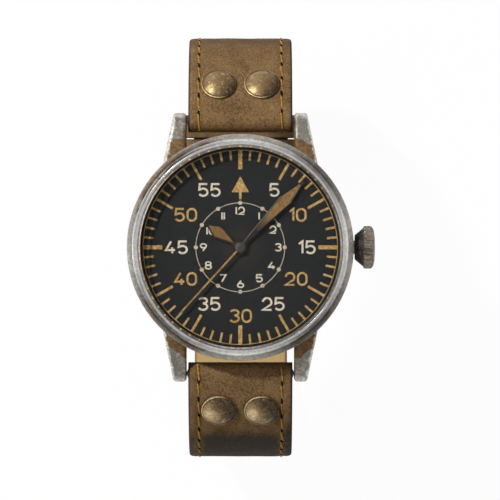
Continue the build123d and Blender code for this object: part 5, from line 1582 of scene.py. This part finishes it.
def rim_wear(place: Vector) -> float:
    """Painted highlights on the crystal's ground rim: bright stretches, and a line along its inner edge at
    upper left.
    """
    line = hump(hypot(place.x, place.y), 18.5, 0.06) * sector(place, 290.0, 24.0)
    pale = sectors(place, ((1.0, 180.0, 16.0), (1.0, 88.0, 14.0), (0.6, 140.0, 24.0)))
    return max(line, 0.75 * pale)


def case_stain(place: Vector) -> float:
    """Tarnish of the middle case: at the roots of the lugs, and more at upper left."""
    reach = hypot(place.x, place.y) + 0.7 * rough_at(place.x, place.y, place.z, 1.3)
    root = 1 - smooth_step(reach, 22.7, 23.4 if place.y > 0 else 23.0)
    found = 0.95 * root * smooth_step(abs(place.y), 12.0, 16.0)
    if place.x < 0 < place.y:
        found = max(found, 0.34)
    return max(0.06, found + 0.08 * rough_at(place.x, place.y, place.z, 1.7))


def case_wear(place: Vector) -> float:
    """Painted highlights on the middle case: along the outer edges of the lugs, widest on the upper left one,
    and on their tips.
    """
    across = abs(place.x)
    along = abs(place.y)
    if along < 15.0:
        return 0.0
    inside = 0.98 * (14.4 - across) - 0.2 * (along - 15.2) + 0.3 * rough_at(place.x, place.y, 3.0, 0.55)
    wide = 0.6 if place.x < 0 < place.y else 0.4
    band = 1 - smooth_step(inside, 0.5 * wide, 1.25 * wide)
    tip = 0.8 * smooth_step(along + 0.3 * rough_at(place.x, place.y, 5.0, 0.7), 23.8, 24.8)
    top = 57.4 - 3.5 * ((along - 14.5) / 10.5) ** 1.3
    return max((0.8 if wide > 0.5 else 0.95) * band, tip) * smooth_step(place.z, top - 1.6, top - 0.4)


def round_corners(corners: Sequence[tuple[float, float, float]], steps: int = 4) -> list[Point2]:
    """Round each corner of a closed profile by its own radius.

    Args:
        corners: Radius, height and rounding of each corner.
        steps: Points across each rounding.

    Returns:
        The rounded profile.
    """
    rounded: list[Point2] = []
    following = [*corners[1:], corners[0]]
    for before, (x, y, size), after in zip([corners[-1], *corners], corners, following):
        if size == 0:
            rounded.append((x, y))
            continue
        here = Vector((x, y))
        first, last = (
            here + way.normalized() * min(size, way.length * 0.45)
            for way in (Vector(before[:2]) - here, Vector(after[:2]) - here)
        )
        for share in (0.0, *shares(steps)):
            rounded.append(tuple(first.lerp(here, share).lerp(here.lerp(last, share), share)))
    return rounded


def clock_point(radius: float, angle: float) -> Point2:
    """A place on the dial at a clockwise angle in degrees from 12."""
    turn = radians(angle)
    return (radius * sin(turn), radius * cos(turn))


def turned(points: Iterable[Point2], angle: float) -> list[Point2]:
    """Points turned clockwise about the watch's axis."""
    turn = -radians(angle)
    return [(x * cos(turn) - y * sin(turn), x * sin(turn) + y * cos(turn)) for x, y in points]


@dataclass(frozen=True)
class HandShape:
    """A pointed hand with its filled window, sizes along it in millimetres."""

    length: float
    wide_reach: float
    half_width: float
    neck: float
    hub: float
    fill_start: float
    fill_end: float
    fill_start_half: float
    fill_half: float
    fill_tip_half: float
    angle: float
    height: float

    def outline(self) -> list[Point2]:
        """Outline of the hand with its round hub."""
        join = asin(min(1.0, self.neck / self.hub))
        points = []
        steps = 28
        for index in range(steps + 1):
            turn = pi / 2 + join + (tau - 2 * join) * index / steps
            points.append((self.hub * cos(turn), self.hub * sin(turn)))
        points += [(self.half_width, self.wide_reach), (0.05, self.length), (-0.05, self.length),
                   (-self.half_width, self.wide_reach)]
        return turned(points, self.angle)

    def fill_outline(self) -> list[Point2]:
        """Outline of the luminous fill."""
        points = [
            (self.fill_start_half, self.fill_start), (self.fill_half, self.wide_reach),
            (self.fill_tip_half, self.fill_end), (-self.fill_tip_half, self.fill_end),
            (-self.fill_half, self.wide_reach), (-self.fill_start_half, self.fill_start),
        ]
        return turned(points, self.angle)


@dataclass
class Hands:
    """The hour, minute and seconds hands."""

    thickness: float = 0.18
    seconds_angle: float = 222.3
    seconds_height: float = 58.91
    seconds_half: float = 0.17

    def build(self, palette: "Palette") -> None:
        """Make the three hands."""
        hour = HandShape(7.6, 5.07, 1.4, 0.42, 1.5, 1.7, 7.0, 0.1, 1.02, 0.06, 304.6, 58.25)
        minute = HandShape(17.0, 12.03, 1.18, 0.3, 1.3, 4.6, 16.0, 0.36, 0.98, 0.2, 43.8, 58.58)
        self.build_filled("hour", hour, (palette.hand, palette.hand), palette.lume, Body.HOURS)
        self.build_filled("minute", minute, (palette.hand, palette.bare), palette.lume_dull, Body.MINUTES)
        self.build_seconds(palette)

    def build_filled(
        self, name: str, shape: HandShape, metals: Sequence[Material], fill: Material, body: Body,
    ) -> None:
        """Make a hand whose window is filled.

        Args:
            name: The hand's name.
            shape: Its sizes.
            metals: Materials of its frame and of the two long bevels that catch the light.
            fill: Material of its fill.
            body: The body that it rides on.
        """
        hub_points = 29
        low = shape.height
        top = low + self.thickness
        bright_sides = (hub_points, hub_points + 3)
        plate = flat_plate(f"look_{name}_hand", shape.outline(), low, top, 0.09, bright_sides)
        for metal in metals:
            plate.data.materials.append(metal)
        filled = flat_plate(f"look_{name}_fill", shape.fill_outline(), low + 0.05, top + 0.05, 0.06)
        dress(plate, metals[0], body, f"{name}_hand")
        dress(filled, fill, body, f"{name}_hand_lume")

    def build_seconds(self, palette: "Palette") -> None:
        """Make the stick of the seconds hand, its bare tip and its hub."""
        low = self.seconds_height
        top = low + self.thickness
        half = self.seconds_half
        paint_end = 16.2
        tip_end = 17.7
        stick_outline = [(half, 0.5), (half, paint_end), (-half, paint_end), (-half, 0.5)]
        stick = flat_plate("stick", turned(stick_outline, self.seconds_angle), low, top, 0.05)
        tip_outline = [(half, paint_end), (half * 0.6, tip_end), (-half * 0.6, tip_end), (-half, paint_end)]
        tip = flat_plate("tip", turned(tip_outline, self.seconds_angle), low + 0.01, top - 0.01, 0.05)
        boss = lathe("boss", [
            (0.0, low), (0.95, low), (0.95, low + 0.2), (0.92, low + 0.27), (0.86, low + 0.3), (0.0, low + 0.3),
        ], 64)
        for made, material in ((stick, palette.paint), (tip, palette.bare), (boss, palette.bar)):
            made.data.materials.append(material)
        dress(join_all("look_seconds_hand", [stick, tip, boss]), palette.paint, Body.SECONDS, "seconds_hand")


def arc_points(
    centre: Point2, radius_x: float, radius_y: float, start: float, end: float, count: int = 14,
) -> list[Point2]:
    """Points of an oval arc between two angles in degrees."""
    turns = [radians(start + (end - start) * index / count) for index in range(count + 1)]
    return [(centre[0] + radius_x * cos(turn), centre[1] + radius_y * sin(turn)) for turn in turns]


def digit_strokes(digit: str, width: float) -> list[list[Point2]]:
    """Centre lines of a plain digit, one unit tall.

    Args:
        digit: The digit.
        width: The digit's width.

    Returns:
        Its strokes.
    """
    half = width / 2
    low = 0.29
    high = 0.77
    upper_bowl = (half, high - 0.005)
    lower_bowl = (half, 0.27)
    nine_bowl = (half, 1 - low)
    strokes: dict[str, list[list[Point2]]] = {
        "0": [[
            *arc_points((half, 1 - half), half, half, 180, 0), *arc_points((half, half), half, half, 0, -180),
            (0.0, 1 - half),
        ]],
        "1": [[(0.0, 0.78), (0.3, 1.0), (0.3, 0.0)]],
        "I": [[(0.0, 1.0), (0.0, 0.0)]],
        "2": [[*arc_points((half, 1 - half * 1.02), half, half * 1.02, 172, -32), (0.0, 0.0), (width, 0.0)]],
        "3": [
            arc_points((half, high), half * 0.92, 0.23, 158, -90),
            arc_points(lower_bowl, half, 0.27, 90, -158),
        ],
        "4": [
            [(half + 0.06, 1.0), (0.0, 0.27), (width + 0.03, 0.27)],
            [(width * 0.72, 0.5), (width * 0.72, 0.0)],
        ],
        "5": [[
            (width - 0.02, 1.0), (0.07, 1.0), (0.03, 0.52), *arc_points((half, 0.31), half, 0.31, 132, -150),
        ]],
        "6": [
            arc_points((half, low), half, low, 0, 360, 24),
            [(half + 0.1, 1.0), *arc_points((half, low), half, low, 152, 180, 3)],
        ],
        "7": [[(0.0, 1.0), (width, 1.0), (0.3 * width, 0.0)]],
        "8": [
            arc_points(upper_bowl, half * 0.88, 0.235, 0, 360, 24),
            arc_points(lower_bowl, half, 0.27, 0, 360, 24),
        ],
        "9": [
            arc_points(nine_bowl, half, low, 0, 360, 24),
            [(half - 0.1, 0.0), *arc_points(nine_bowl, half, low, -28, 0, 3)],
        ],
    }
    return strokes[digit]


@dataclass(frozen=True)
class NumberStyle:
    """Sizes of a row of digits over all, in millimetres."""

    height: float
    width: float
    stroke: float
    gap: float
    bare_one: bool = False


@dataclass
class Print:
    """Printed marks gathered as thin raised strips, in millimetres."""

    bottom: float
    thickness: float = 0.03
    points: list[Point3] = field(default_factory=list)
    faces: list[Face] = field(default_factory=list)
    layer: int = 0

    def raise_layer(self) -> float:
        """Height of the next mark's top, a hair off the last one's so that crossings don't share a face."""
        top = self.bottom + self.thickness + 0.0008 * (self.layer % 7)
        self.layer += 1
        return top

    def patch(self, outline: Sequence[Point2]) -> None:
        """Add a flat patch whose outline runs counter-clockwise."""
        base = len(self.points)
        count = len(outline)
        for height in (self.bottom, self.raise_layer()):
            self.points += [(x, y, height) for x, y in outline]
        self.faces += ring_indices(base, base + count, count)
        self.faces.append(tuple(range(base + count, base + 2 * count)))
        self.faces.append(tuple(range(base + count - 1, base - 1, -1)))

    def stroke(self, line: Sequence[Point2], width: float) -> None:
        """Add a strip of even width along a line, mitred at its bends."""
        closed = hypot(line[0][0] - line[-1][0], line[0][1] - line[-1][1]) < 1e-6
        dots = [Vector(point) for point in (line[:-1] if closed else line)]
        count = len(dots)
        lefts: list[Point2] = []
        rights: list[Point2] = []
        for index, here in enumerate(dots):
            ways = []
            if index or closed:
                ways.append(here - dots[index - 1])
            if index < count - 1 or closed:
                ways.append(dots[(index + 1) % count] - here)
            normals = [Vector((-way.y, way.x)) for way in (way.normalized() for way in ways)]
            middle = sum(normals, Vector((0.0, 0.0))).normalized()
            share = max(0.45, middle.dot(normals[0]))
            reach = middle * (width / 2 / share)
            lefts.append(tuple(here + reach))
            rights.append(tuple(here - reach))
        base = len(self.points)
        for height in (self.bottom, self.raise_layer()):
            self.points += [(x, y, height) for x, y in (*lefts, *rights)]
        for index in range(count if closed else count - 1):
            step = (index + 1) % count - index
            low_left, low_right = base + index, base + count + index
            high_left, high_right = low_left + 2 * count, low_right + 2 * count
            for first, second in ((high_right, high_left), (low_left, low_right), (low_right, high_right),
                                  (high_left, low_left)):
                self.faces.append((first, first + step, second + step, second))
        if not closed:
            end = base + count - 1
            self.faces.append((base, base + count, base + 3 * count, base + 2 * count))
            self.faces.append((end, end + 2 * count, end + 3 * count, end + count))

    def ring(self, radius: float, width: float, centre: Point2 = (0.0, 0.0), steps: int = 180) -> None:
        """Add a ring line about a centre."""
        line = [
            (centre[0] + radius * cos(tau * index / steps), centre[1] + radius * sin(tau * index / steps))
            for index in range(steps)
        ]
        self.stroke(line + [line[0]], width)

    def number(self, text: str, centre: Point2, style: "NumberStyle") -> None:
        """Add an upright number about a centre.

        Args:
            text: Its digits.
            centre: Its middle.
            style: Its sizes.
        """
        scale = style.height - style.stroke
        wide = (style.width - style.stroke) / scale
        gap = (style.gap + style.stroke) / scale
        digits = text.replace("1", "I") if style.bare_one else text
        widths = [{"1": 0.3, "I": 0.0}.get(digit, wide) for digit in digits]
        x = -(sum(widths) + gap * (len(digits) - 1)) / 2
        for digit, room in zip(digits, widths):
            for line in digit_strokes(digit, wide):
                self.stroke([
                    (centre[0] + (x + px) * scale, centre[1] + (py - 0.5) * scale) for px, py in line
                ], style.stroke)
            x += room + gap

    def build(self, name: str) -> Object:
        """Make the gathered marks one object."""
        return link_object(name, raw_mesh(name, self.points, self.faces))


def build_tick_group() -> NodeTree:
    """Geometry nodes that set bars round a circle and leave out every so many.

    Returns:
        The node group.
    """
    graph, given, result = start_group("dial ticks", "GeometryNodeTree", {
        "Geometry": ("Geometry", None),
        "Count": ("Int", 60),
        "Left out": ("Int", 5),
        "Inner radius": ("Float", 16.2 * MM),
        "Outer radius": ("Float", 17.9 * MM),
        "Width": ("Float", 0.43 * MM),
        "Height": ("Float", 57.9 * MM),
        "Thickness": ("Float", 0.03 * MM),
        "Paint": ("Material", None),
    }, {"Geometry": "Geometry"})
    count, inner, outer = (given.outputs[name] for name in ("Count", "Inner radius", "Outer radius"))
    thickness = given.outputs["Thickness"]
    index = graph.node("GeometryNodeInputIndex").outputs[0]
    turn = graph.times(graph.maths("DIVIDE", index, count), -tau)
    middle = graph.times(graph.plus(inner, outer), 0.5)
    x = graph.times(graph.maths("SINE", turn), graph.times(middle, -1.0))
    y = graph.times(graph.maths("COSINE", turn), middle)
    rise = graph.plus(given.outputs["Height"], graph.times(thickness, 0.5))
    spot = graph.node("ShaderNodeCombineXYZ", {0: x, 1: y, 2: rise}).outputs[0]
    dots = graph.node("GeometryNodePoints", {"Count": count, "Position": spot})
    rest = graph.maths("MODULO", index, given.outputs["Left out"])
    kept = graph.node("FunctionNodeCompare", {0: rest, 1: 0.5}, data_type="FLOAT", operation="GREATER_THAN")
    size = graph.node("ShaderNodeCombineXYZ", {
        0: given.outputs["Width"], 1: graph.minus(outer, inner), 2: thickness,
    })
    bar = graph.node("GeometryNodeMeshCube", {"Size": size.outputs[0]})
    lean = graph.node("ShaderNodeCombineXYZ", {2: turn})
    placed = graph.node("GeometryNodeInstanceOnPoints", {
        "Points": dots.outputs[0], "Selection": kept.outputs[0], "Instance": bar.outputs[0],
        "Rotation": lean.outputs[0],
    })
    finish_group(graph, placed, given.outputs["Paint"], result)
    return graph.tree


TICKS = build_tick_group()


def tick_ring(name: str, material: Material, **values: float) -> Object:
    """Bars round the dial as one plain mesh.

    Args:
        name: The object's name.
        material: Their paint.
        values: Values of the node group's inputs, with underscores for spaces.

    Returns:
        The object.
    """
    inputs = {label.replace("_", " ").capitalize(): value for label, value in values.items()}
    return grow(name, bpy.data.meshes.new(name), TICKS, inputs | {"Paint": material})


@dataclass
class DialPrint:
    """Everything that is printed on the dial."""

    top: float = 57.9
    hour_ring: float = 8.23
    track: float = 18.0
    tick_end: float = 16.15
    long_tick_end: float = 14.45
    quarter_half: float = 0.37
    line: float = 0.13
    dot_radius: float = 0.38
    minute_places: tuple[Point2, ...] = (
        (6.29, 10.61), (10.63, 6.0), (12.32, 0.0), (10.34, -5.85), (6.1, -10.48), (0.06, -12.7),
        (-5.77, -10.48), (-10.1, -5.85), (-11.82, 0.0), (-10.1, 6.02), (-5.74, 10.61),
    )
    hour_places: tuple[Point2, ...] = (
        (3.49, 5.8), (6.05, 3.27), (7.0, 0.0), (5.83, -3.36), (3.51, -5.72), (0.06, -6.77),
        (-3.2, -5.74), (-5.92, -3.35), (-6.82, 0.0), (-5.41, 3.05), (-3.17, 5.8), (0.0, 6.77),
    )

    def build(self, palette: "Palette") -> None:
        """Print the dial."""
        pale = Print(self.top)
        gold = Print(self.top)
        thin = Print(self.top)
        large = NumberStyle(2.56, 1.96, 0.37, 0.3)
        small = NumberStyle(1.55, 1.34, 0.27, 0.14, True)
        for step, place in enumerate(self.minute_places, start=1):
            ink = pale if step % 2 else gold
            ink.number(str(5 * step), place, large)
        for hour, place in enumerate(self.hour_places, start=1):
            pale.number(str(hour), place, small)
        thin.ring(self.hour_ring, self.line)
        gold.ring(self.track, self.line, steps=240)
        for hour in range(12):
            spot = clock_point(self.hour_ring, 30.0 * hour)
            thin.patch([round_about(spot, self.dot_radius, 18.0 * i) for i in range(20)])
        gold.patch([(-1.6, 10.2), (1.6, 10.2), (0.0, 13.13)])
        gold.patch([(-0.23, 8.9), (0.23, 8.9), (0.23, 10.25), (-0.23, 10.25)])
        rings = [
            tick_ring(
                name, palette.ochre, count=count, left_out=left_out, inner_radius=start * MM,
                outer_radius=self.track * MM, width=width * MM, height=self.top * MM)
            for name, count, left_out, start, width in (
                ("minute_ticks", 60, 5, self.tick_end, 0.4), ("five_ticks", 12, 3, self.long_tick_end, 0.48),
            )
        ]
        half = self.quarter_half
        start = self.long_tick_end
        for quarter in range(4):
            outline = [(-half, start), (half, start), (half, self.track), (-half, self.track)]
            gold.patch(turned(outline, 90.0 * quarter))
        gold_marks = gold.build("gold_marks")
        gold_marks.data.materials.append(palette.ochre)
        dress(join_all("look_dial_ochre", [gold_marks, *rings]), palette.ochre, Body.CASE)
        dress(pale.build("look_dial_cream"), palette.cream, Body.CASE)
        dress(thin.build("look_dial_ring"), palette.ring, Body.CASE)


@dataclass
class Keeper:
    """A leather loop round the strap: a rounded rectangle swept by a rounded strip."""

    name: str
    body: Body
    centre: Vector
    radial: Vector
    along: Vector
    half_width: float = 9.95
    half_height: float = 2.975
    wall: float = 1.2
    width: float = 4.0

    def loop(self, reach: float) -> list[Point2]:
        """Points of the loop at a depth in the wall, in the plane of its window."""
        half_x = self.half_width + reach
        half_y = self.half_height + reach
        radius = 0.5 + reach
        points: list[Point2] = []
        for corner_x, corner_y, start in ((1, 1, 0), (-1, 1, 90), (-1, -1, 180), (1, -1, 270)):
            centre = (corner_x * (half_x - radius), corner_y * (half_y - radius))
            points += arc_points(centre, radius, radius, start, start + 90, 6)
        return points

    def build(self, leather: Material) -> None:
        """Make the keeper."""
        half = self.width / 2
        edge = 0.32
        section = round_corners([
            (0.0, -half, edge), (self.wall, -half, edge), (self.wall, half, edge), (0.0, half, edge),
        ], 3)
        points = []
        wear = []
        faces: list[Face] = []
        for row, (reach, shift) in enumerate(section):
            loop = self.loop(reach)
            for x, y in loop:
                points.append(self.centre + Vector((x, 0.0, 0.0)) + self.radial * y + self.along * shift)
                wear.append(smooth_step(abs(shift), half - 0.5, half - 0.05))
            count = len(loop)
            faces += ring_indices(row * count, ((row + 1) % len(section)) * count, count)
        made = make_object(f"look_{self.name}", points, faces, SHEET_ANGLE, {"wear": wear})
        dress(made, leather, self.body, self.name)


@dataclass(frozen=True)
class Lamp:
    """An area lamp aimed at the watch, in metres and watts."""

    name: str
    place: tuple[float, float, float]
    size: float
    power: float
class Studio:
    """Floor, lights, world and camera."""

    aim = Vector((0.0, 0.0, 0.055))

    def build(self) -> None:
        """Set up the studio."""
        self.build_floor()
        self.build_world()
        for lamp in (
            Lamp("key", (-0.46, 0.46, 0.7), 0.07, 7.2),
            Lamp("side", (-0.85, -0.05, 0.38), 0.5, 2.5),
            Lamp("fill", (0.6, -0.35, 0.7), 0.7, 0.8),
        ):
            self.build_lamp(lamp)
        self.build_camera()

    def build_floor(self) -> None:
        """Lay the pale floor, white to the camera but for a faint shadow."""
        corners = [(-900, -900, 0), (900, -900, 0), (900, 900, 0), (-900, 900, 0)]
        floor = make_object("floor", corners, [(0, 1, 2, 3)])
        material, graph, shader, _ = start_material("floor_white")
        graph.feed(shader, {"Base Color": (0.9, 0.9, 0.9), "Roughness": 0.9})
        light = graph.node("ShaderNodeEmission", {"Color": WHITE, "Strength": 1.0})
        share = graph.times(graph.seen_plainly(), 0.96)
        mixed = graph.node("ShaderNodeMixShader", {0: share, 1: shader.outputs[0], 2: light.outputs[0]})
        graph.feed(graph.tree.nodes["Material Output"], {"Surface": mixed.outputs[0]})
        floor.data.materials.append(material)

    def build_world(self) -> None:
        """Light the world evenly, white where the camera sees it."""
        world = bpy.data.worlds.new("studio")
        bpy.context.scene.world = world
        world.use_nodes = True
        graph = Graph(world.node_tree)
        base = graph.tree.nodes["Background"]
        graph.feed(base, {"Color": WHITE, "Strength": 0.29})
        white = graph.node("ShaderNodeBackground", {"Color": WHITE, "Strength": 1.0})
        seen = graph.seen_plainly()
        mixed = graph.node("ShaderNodeMixShader", {0: seen, 1: base.outputs[0], 2: white.outputs[0]})
        graph.feed(graph.tree.nodes["World Output"], {"Surface": mixed.outputs[0]})

    def build_lamp(self, lamp: Lamp) -> None:
        """Hang one lamp and aim it at the watch."""
        data = bpy.data.lights.new(lamp.name, "AREA")
        data.shape = "DISK"
        data.size = lamp.size
        data.energy = lamp.power
        made = link_object(lamp.name, data)
        made.location = lamp.place
        made.rotation_euler = (self.aim - Vector(lamp.place)).to_track_quat("-Z", "Y").to_euler()

    def build_camera(self) -> None:
        """Look straight down on the dial, 12 o'clock up."""
        data = bpy.data.cameras.new("camera")
        data.sensor_width = 36.0
        data.lens = 312.0
        data.clip_end = 10.0
        made = link_object("camera", data)
        made.location = (0.0018, -0.0005, 0.86)
        bpy.context.scene.camera = made


class Palette:
    """Every finish of the watch, built once."""

    def __init__(self) -> None:
        """Build the materials."""
        rust = srgb(150, 104, 52)
        self.steel = WornMetal(
            "steel", srgb(120, 114, 105), srgb(88, 70, 48), rust, amount=0.14, blotch_scale=420.0,
            speck_share=0.4, rub_share=0.25).build()
        self.bezel = WornMetal(
            "bezel_steel", srgb(158, 152, 143), srgb(60, 40, 19), srgb(128, 88, 42), 0.42, amount=0.12,
            blotch_scale=280.0, speck_share=0.5, rub_share=0.4, stain_metallic=0.05, gloss=0.15).build()
        self.polished = WornMetal(
            "polished_steel", srgb(186, 186, 186), srgb(150, 144, 136), rust, 0.22, 0.3, 0.1, 0.1,
            metallic=0.95, stain_metallic=0.85, relief=0.006 * MM, fine_share=0.2).build()
        self.bevel = WornMetal(
            "crystal_bevel", srgb(140, 132, 120), srgb(92, 76, 56), srgb(150, 122, 80), 0.25, 0.3, 0.4, 0.4,
            metallic=0.4, stain_metallic=0.2, relief=0.003 * MM, fine_share=0.5).build()
        self.crown = WornMetal(
            "crown_metal", srgb(124, 114, 101), srgb(70, 60, 50), srgb(132, 92, 50), 0.38, 0.55, 0.42, 0.4,
            blotch_scale=700.0, metallic=0.75).build()
        self.neck = PlainFinish("crown_neck", srgb(84, 79, 73), srgb(52, 48, 43), 0.45, 0.5, 1500.0).build()
        self.bar = PlainFinish("hub_metal", srgb(84, 81, 76), srgb(64, 61, 57), 0.5, 0.4).build()
        self.dial = PlainFinish(
            "dial_black", srgb(35, 36, 36), srgb(39, 40, 39), 0.7, 0.0, 900.0, 0.006 * MM, 0.08,
            centre=srgb(56, 51, 45), centre_reach=(0.5, 5.2)).build()
        self.flange = PlainFinish("flange_black", srgb(22, 22, 22), srgb(30, 28, 26), 0.55, gloss=0.1).build()
        self.seal = PlainFinish("seal", srgb(120, 116, 108), srgb(96, 92, 86), 0.4).build()
        self.cream = PlainFinish(
            "cream_print", srgb(228, 219, 201), srgb(206, 174, 122), 0.7, 0.0, 1900.0, gloss=0.05,
            second_share=0.28).build()
        self.ring = PlainFinish(
            "ring_print", srgb(206, 197, 178), srgb(190, 158, 106), 0.7, 0.0, 1500.0, gloss=0.05,
            second_share=0.35).build()
        self.ochre = PlainFinish(
            "ochre_print", srgb(208, 180, 126), srgb(180, 134, 66), 0.7, 0.0, 2100.0, gloss=0.05).build()
        self.hand = PlainFinish(
            "hand_metal", srgb(48, 46, 43), srgb(36, 34, 32), 0.42, 0.35, 1200.0, gloss=0.2).build()
        self.lume = PlainFinish(
            "lume_amber", srgb(154, 120, 76), srgb(108, 78, 44), 0.8, 0.0, 3400.0, gloss=0.05).build()
        self.lume_dull = PlainFinish(
            "lume_brown", srgb(156, 126, 84), srgb(126, 92, 52), 0.8, 0.0, 2900.0, 0.01 * MM, 0.05,
            centre=srgb(80, 68, 52), centre_reach=(5.2, 8.6)).build()
        self.paint = PlainFinish(
            "seconds_paint", srgb(182, 144, 88), srgb(144, 108, 62), 0.6, 0.0, 900.0, gloss=0.1).build()
        self.bare = PlainFinish(
            "bare_metal", srgb(178, 174, 166), srgb(140, 134, 124), 0.35, 0.9, 900.0).build()
        self.leather = NubuckFinish(
            "strap_leather", srgb(138, 109, 73), srgb(84, 62, 38), srgb(156, 128, 92), srgb(60, 52, 46),
            srgb(46, 44, 41)).build()
        self.keeper = NubuckFinish(
            "keeper_leather", srgb(132, 104, 70), srgb(94, 71, 46), srgb(146, 120, 86), srgb(62, 52, 42),
            srgb(58, 55, 51)).build()
        self.lining_tan = NubuckFinish(
            "lining_tan", srgb(186, 158, 110), srgb(174, 146, 99), srgb(198, 174, 130), srgb(134, 106, 72),
            srgb(120, 92, 60), 0.6, 0.02 * MM).build()
        self.lining_brown = NubuckFinish(
            "lining_brown", srgb(122, 88, 54), srgb(98, 68, 40), srgb(140, 104, 68), srgb(70, 50, 34),
            srgb(66, 54, 42), 0.6, 0.03 * MM).build()
        self.thread = PlainFinish(
            "thread", srgb(176, 132, 62), srgb(132, 94, 42), 0.8, 0.0, 2200.0, 0.03 * MM, 0.1).build()
        self.stitch_hole = PlainFinish(
            "stitch_hole", srgb(26, 20, 15), srgb(40, 30, 22), 0.9, gloss=0.0).build()
        # The rivets' bright colour and dark tone carry the caps' painted highlights and painted shade, with
        # real rubs and patina.
        self.rivet = WornMetal(
            "rivet_bronze", srgb(132, 106, 68), srgb(96, 76, 50), srgb(156, 112, 48), 0.36, 0.44, 0.4, 0.6,
            blotch_scale=1900.0, metallic=0.55, stain_metallic=0.45, rub_share=0.5, relief=0.008 * MM,
            bright=srgb(214, 190, 146), oxide=srgb(50, 37, 23), fine_share=0.4).build()
        self.rivet_base = WornMetal(
            "rivet_base", srgb(150, 128, 84), srgb(84, 64, 40), srgb(150, 104, 52), 0.4, 0.6, 0.4).build()
        self.buckle = WornMetal(
            "buckle_steel", srgb(156, 150, 141), srgb(104, 82, 56), rust, 0.38, 0.6, 0.2).build()
        self.nickel = PlainFinish("nickel", srgb(200, 198, 190), srgb(182, 178, 170), 0.34, 1.0).build()
        self.brass = PlainFinish("brass", srgb(206, 168, 96), srgb(184, 146, 80), 0.36, 1.0).build()
        self.ruby = PlainFinish("ruby", srgb(176, 22, 48), srgb(150, 14, 36), 0.12, gloss=0.6).build()
        self.blued = PlainFinish("screw", srgb(120, 124, 140), srgb(90, 94, 112), 0.25, 1.0).build()
        self.holder = PlainFinish("holder", srgb(212, 210, 202), srgb(200, 196, 188), 0.6).build()
        self.glass = GlassFinish("crystal_glass", srgb(30, 34, 36)).build()


def add_slots(palette: Palette) -> None:
    """Give the CAD nodes that stay in view their finishes."""
    finishes = {
        "steel": palette.steel, "bezel_steel": palette.bezel, "crown_metal": palette.crown,
        "crystal_glass": palette.glass, "black_trim": palette.flange, "seal": palette.seal,
        "dial_black": palette.dial, "hand_metal": palette.hand, "seconds_paint": palette.paint,
        "lume": palette.lume, "movement_nickel": palette.nickel, "wheel_brass": palette.brass,
        "jewel_red": palette.ruby, "screw_steel": palette.blued, "holder": palette.holder,
        "strap_leather": palette.leather, "lining_tan": palette.lining_tan,
        "lining_brown": palette.lining_brown, "keeper_leather": palette.keeper,
        "rivet_bronze": palette.rivet, "rivet_post_metal": palette.rivet_base,
        "buckle_steel": palette.buckle,
    }
    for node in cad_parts.values():
        for index, held in enumerate(node.data.materials):
            slot = held.name.split(".")[0] if held else ""
            if slot in finishes:
                node.data.materials[index] = finishes[slot]


def main() -> None:
    """Build the watch and its studio."""
    logging.basicConfig(level=logging.INFO, format="%(name)s: %(message)s")
    bpy.context.scene.view_settings.view_transform = "Standard"
    palette = Palette()
    add_slots(palette)
    Studio().build()
    log.info("studio and finishes ready")
    head = CaseHead()
    head.build_bezel(palette)
    head.build_crystal(palette)
    head.build_rim_marks(palette)
    head.build_crown(palette)
    head.build_middle(palette)
    Hands().build(palette)
    DialPrint().build(palette)
    log.info("head ready")
    for shape, body, half, lining in (
        (LONG_HALF, Body.STRAP_LONG, "long", palette.lining_tan),
        (SHORT_HALF, Body.STRAP_SHORT, "short", palette.lining_brown),
    ):
        StrapHalf(shape, body, half).build(palette, lining)
        RivetPair(shape, body).build(palette, half)
    lean = radians(-84)
    out = Vector((0, cos(lean), sin(lean)))
    strap_centre = Vector((0, 21.9, 25.5))
    strap_middle = (15.05 + 21.0) / 2
    for name, body, centre, radial, along in (
        ("keeper_fixed", Body.STRAP_SHORT, Vector((0, 19.2, 7.475)), Vector((0, 0, 1)), Vector((0, 1, 0))),
        ("keeper_free", Body.KEEPER, strap_centre + out * strap_middle, out, Vector((0, -out.z, out.y))),
    ):
        Keeper(name, body, centre, radial, along).build(palette.keeper)
    for name, body, bevel, segments in (
        ("buckle_frame", Body.BUCKLE, 0.3, 3), ("buckle_tongue", Body.TONGUE, 0.15, 2),
    ):
        dress(cad_copy(name, f"look_{name}", bevel, segments=segments), palette.buckle, body, name)
    log.info("strap ready")


if __name__ == "__main__":
    main()
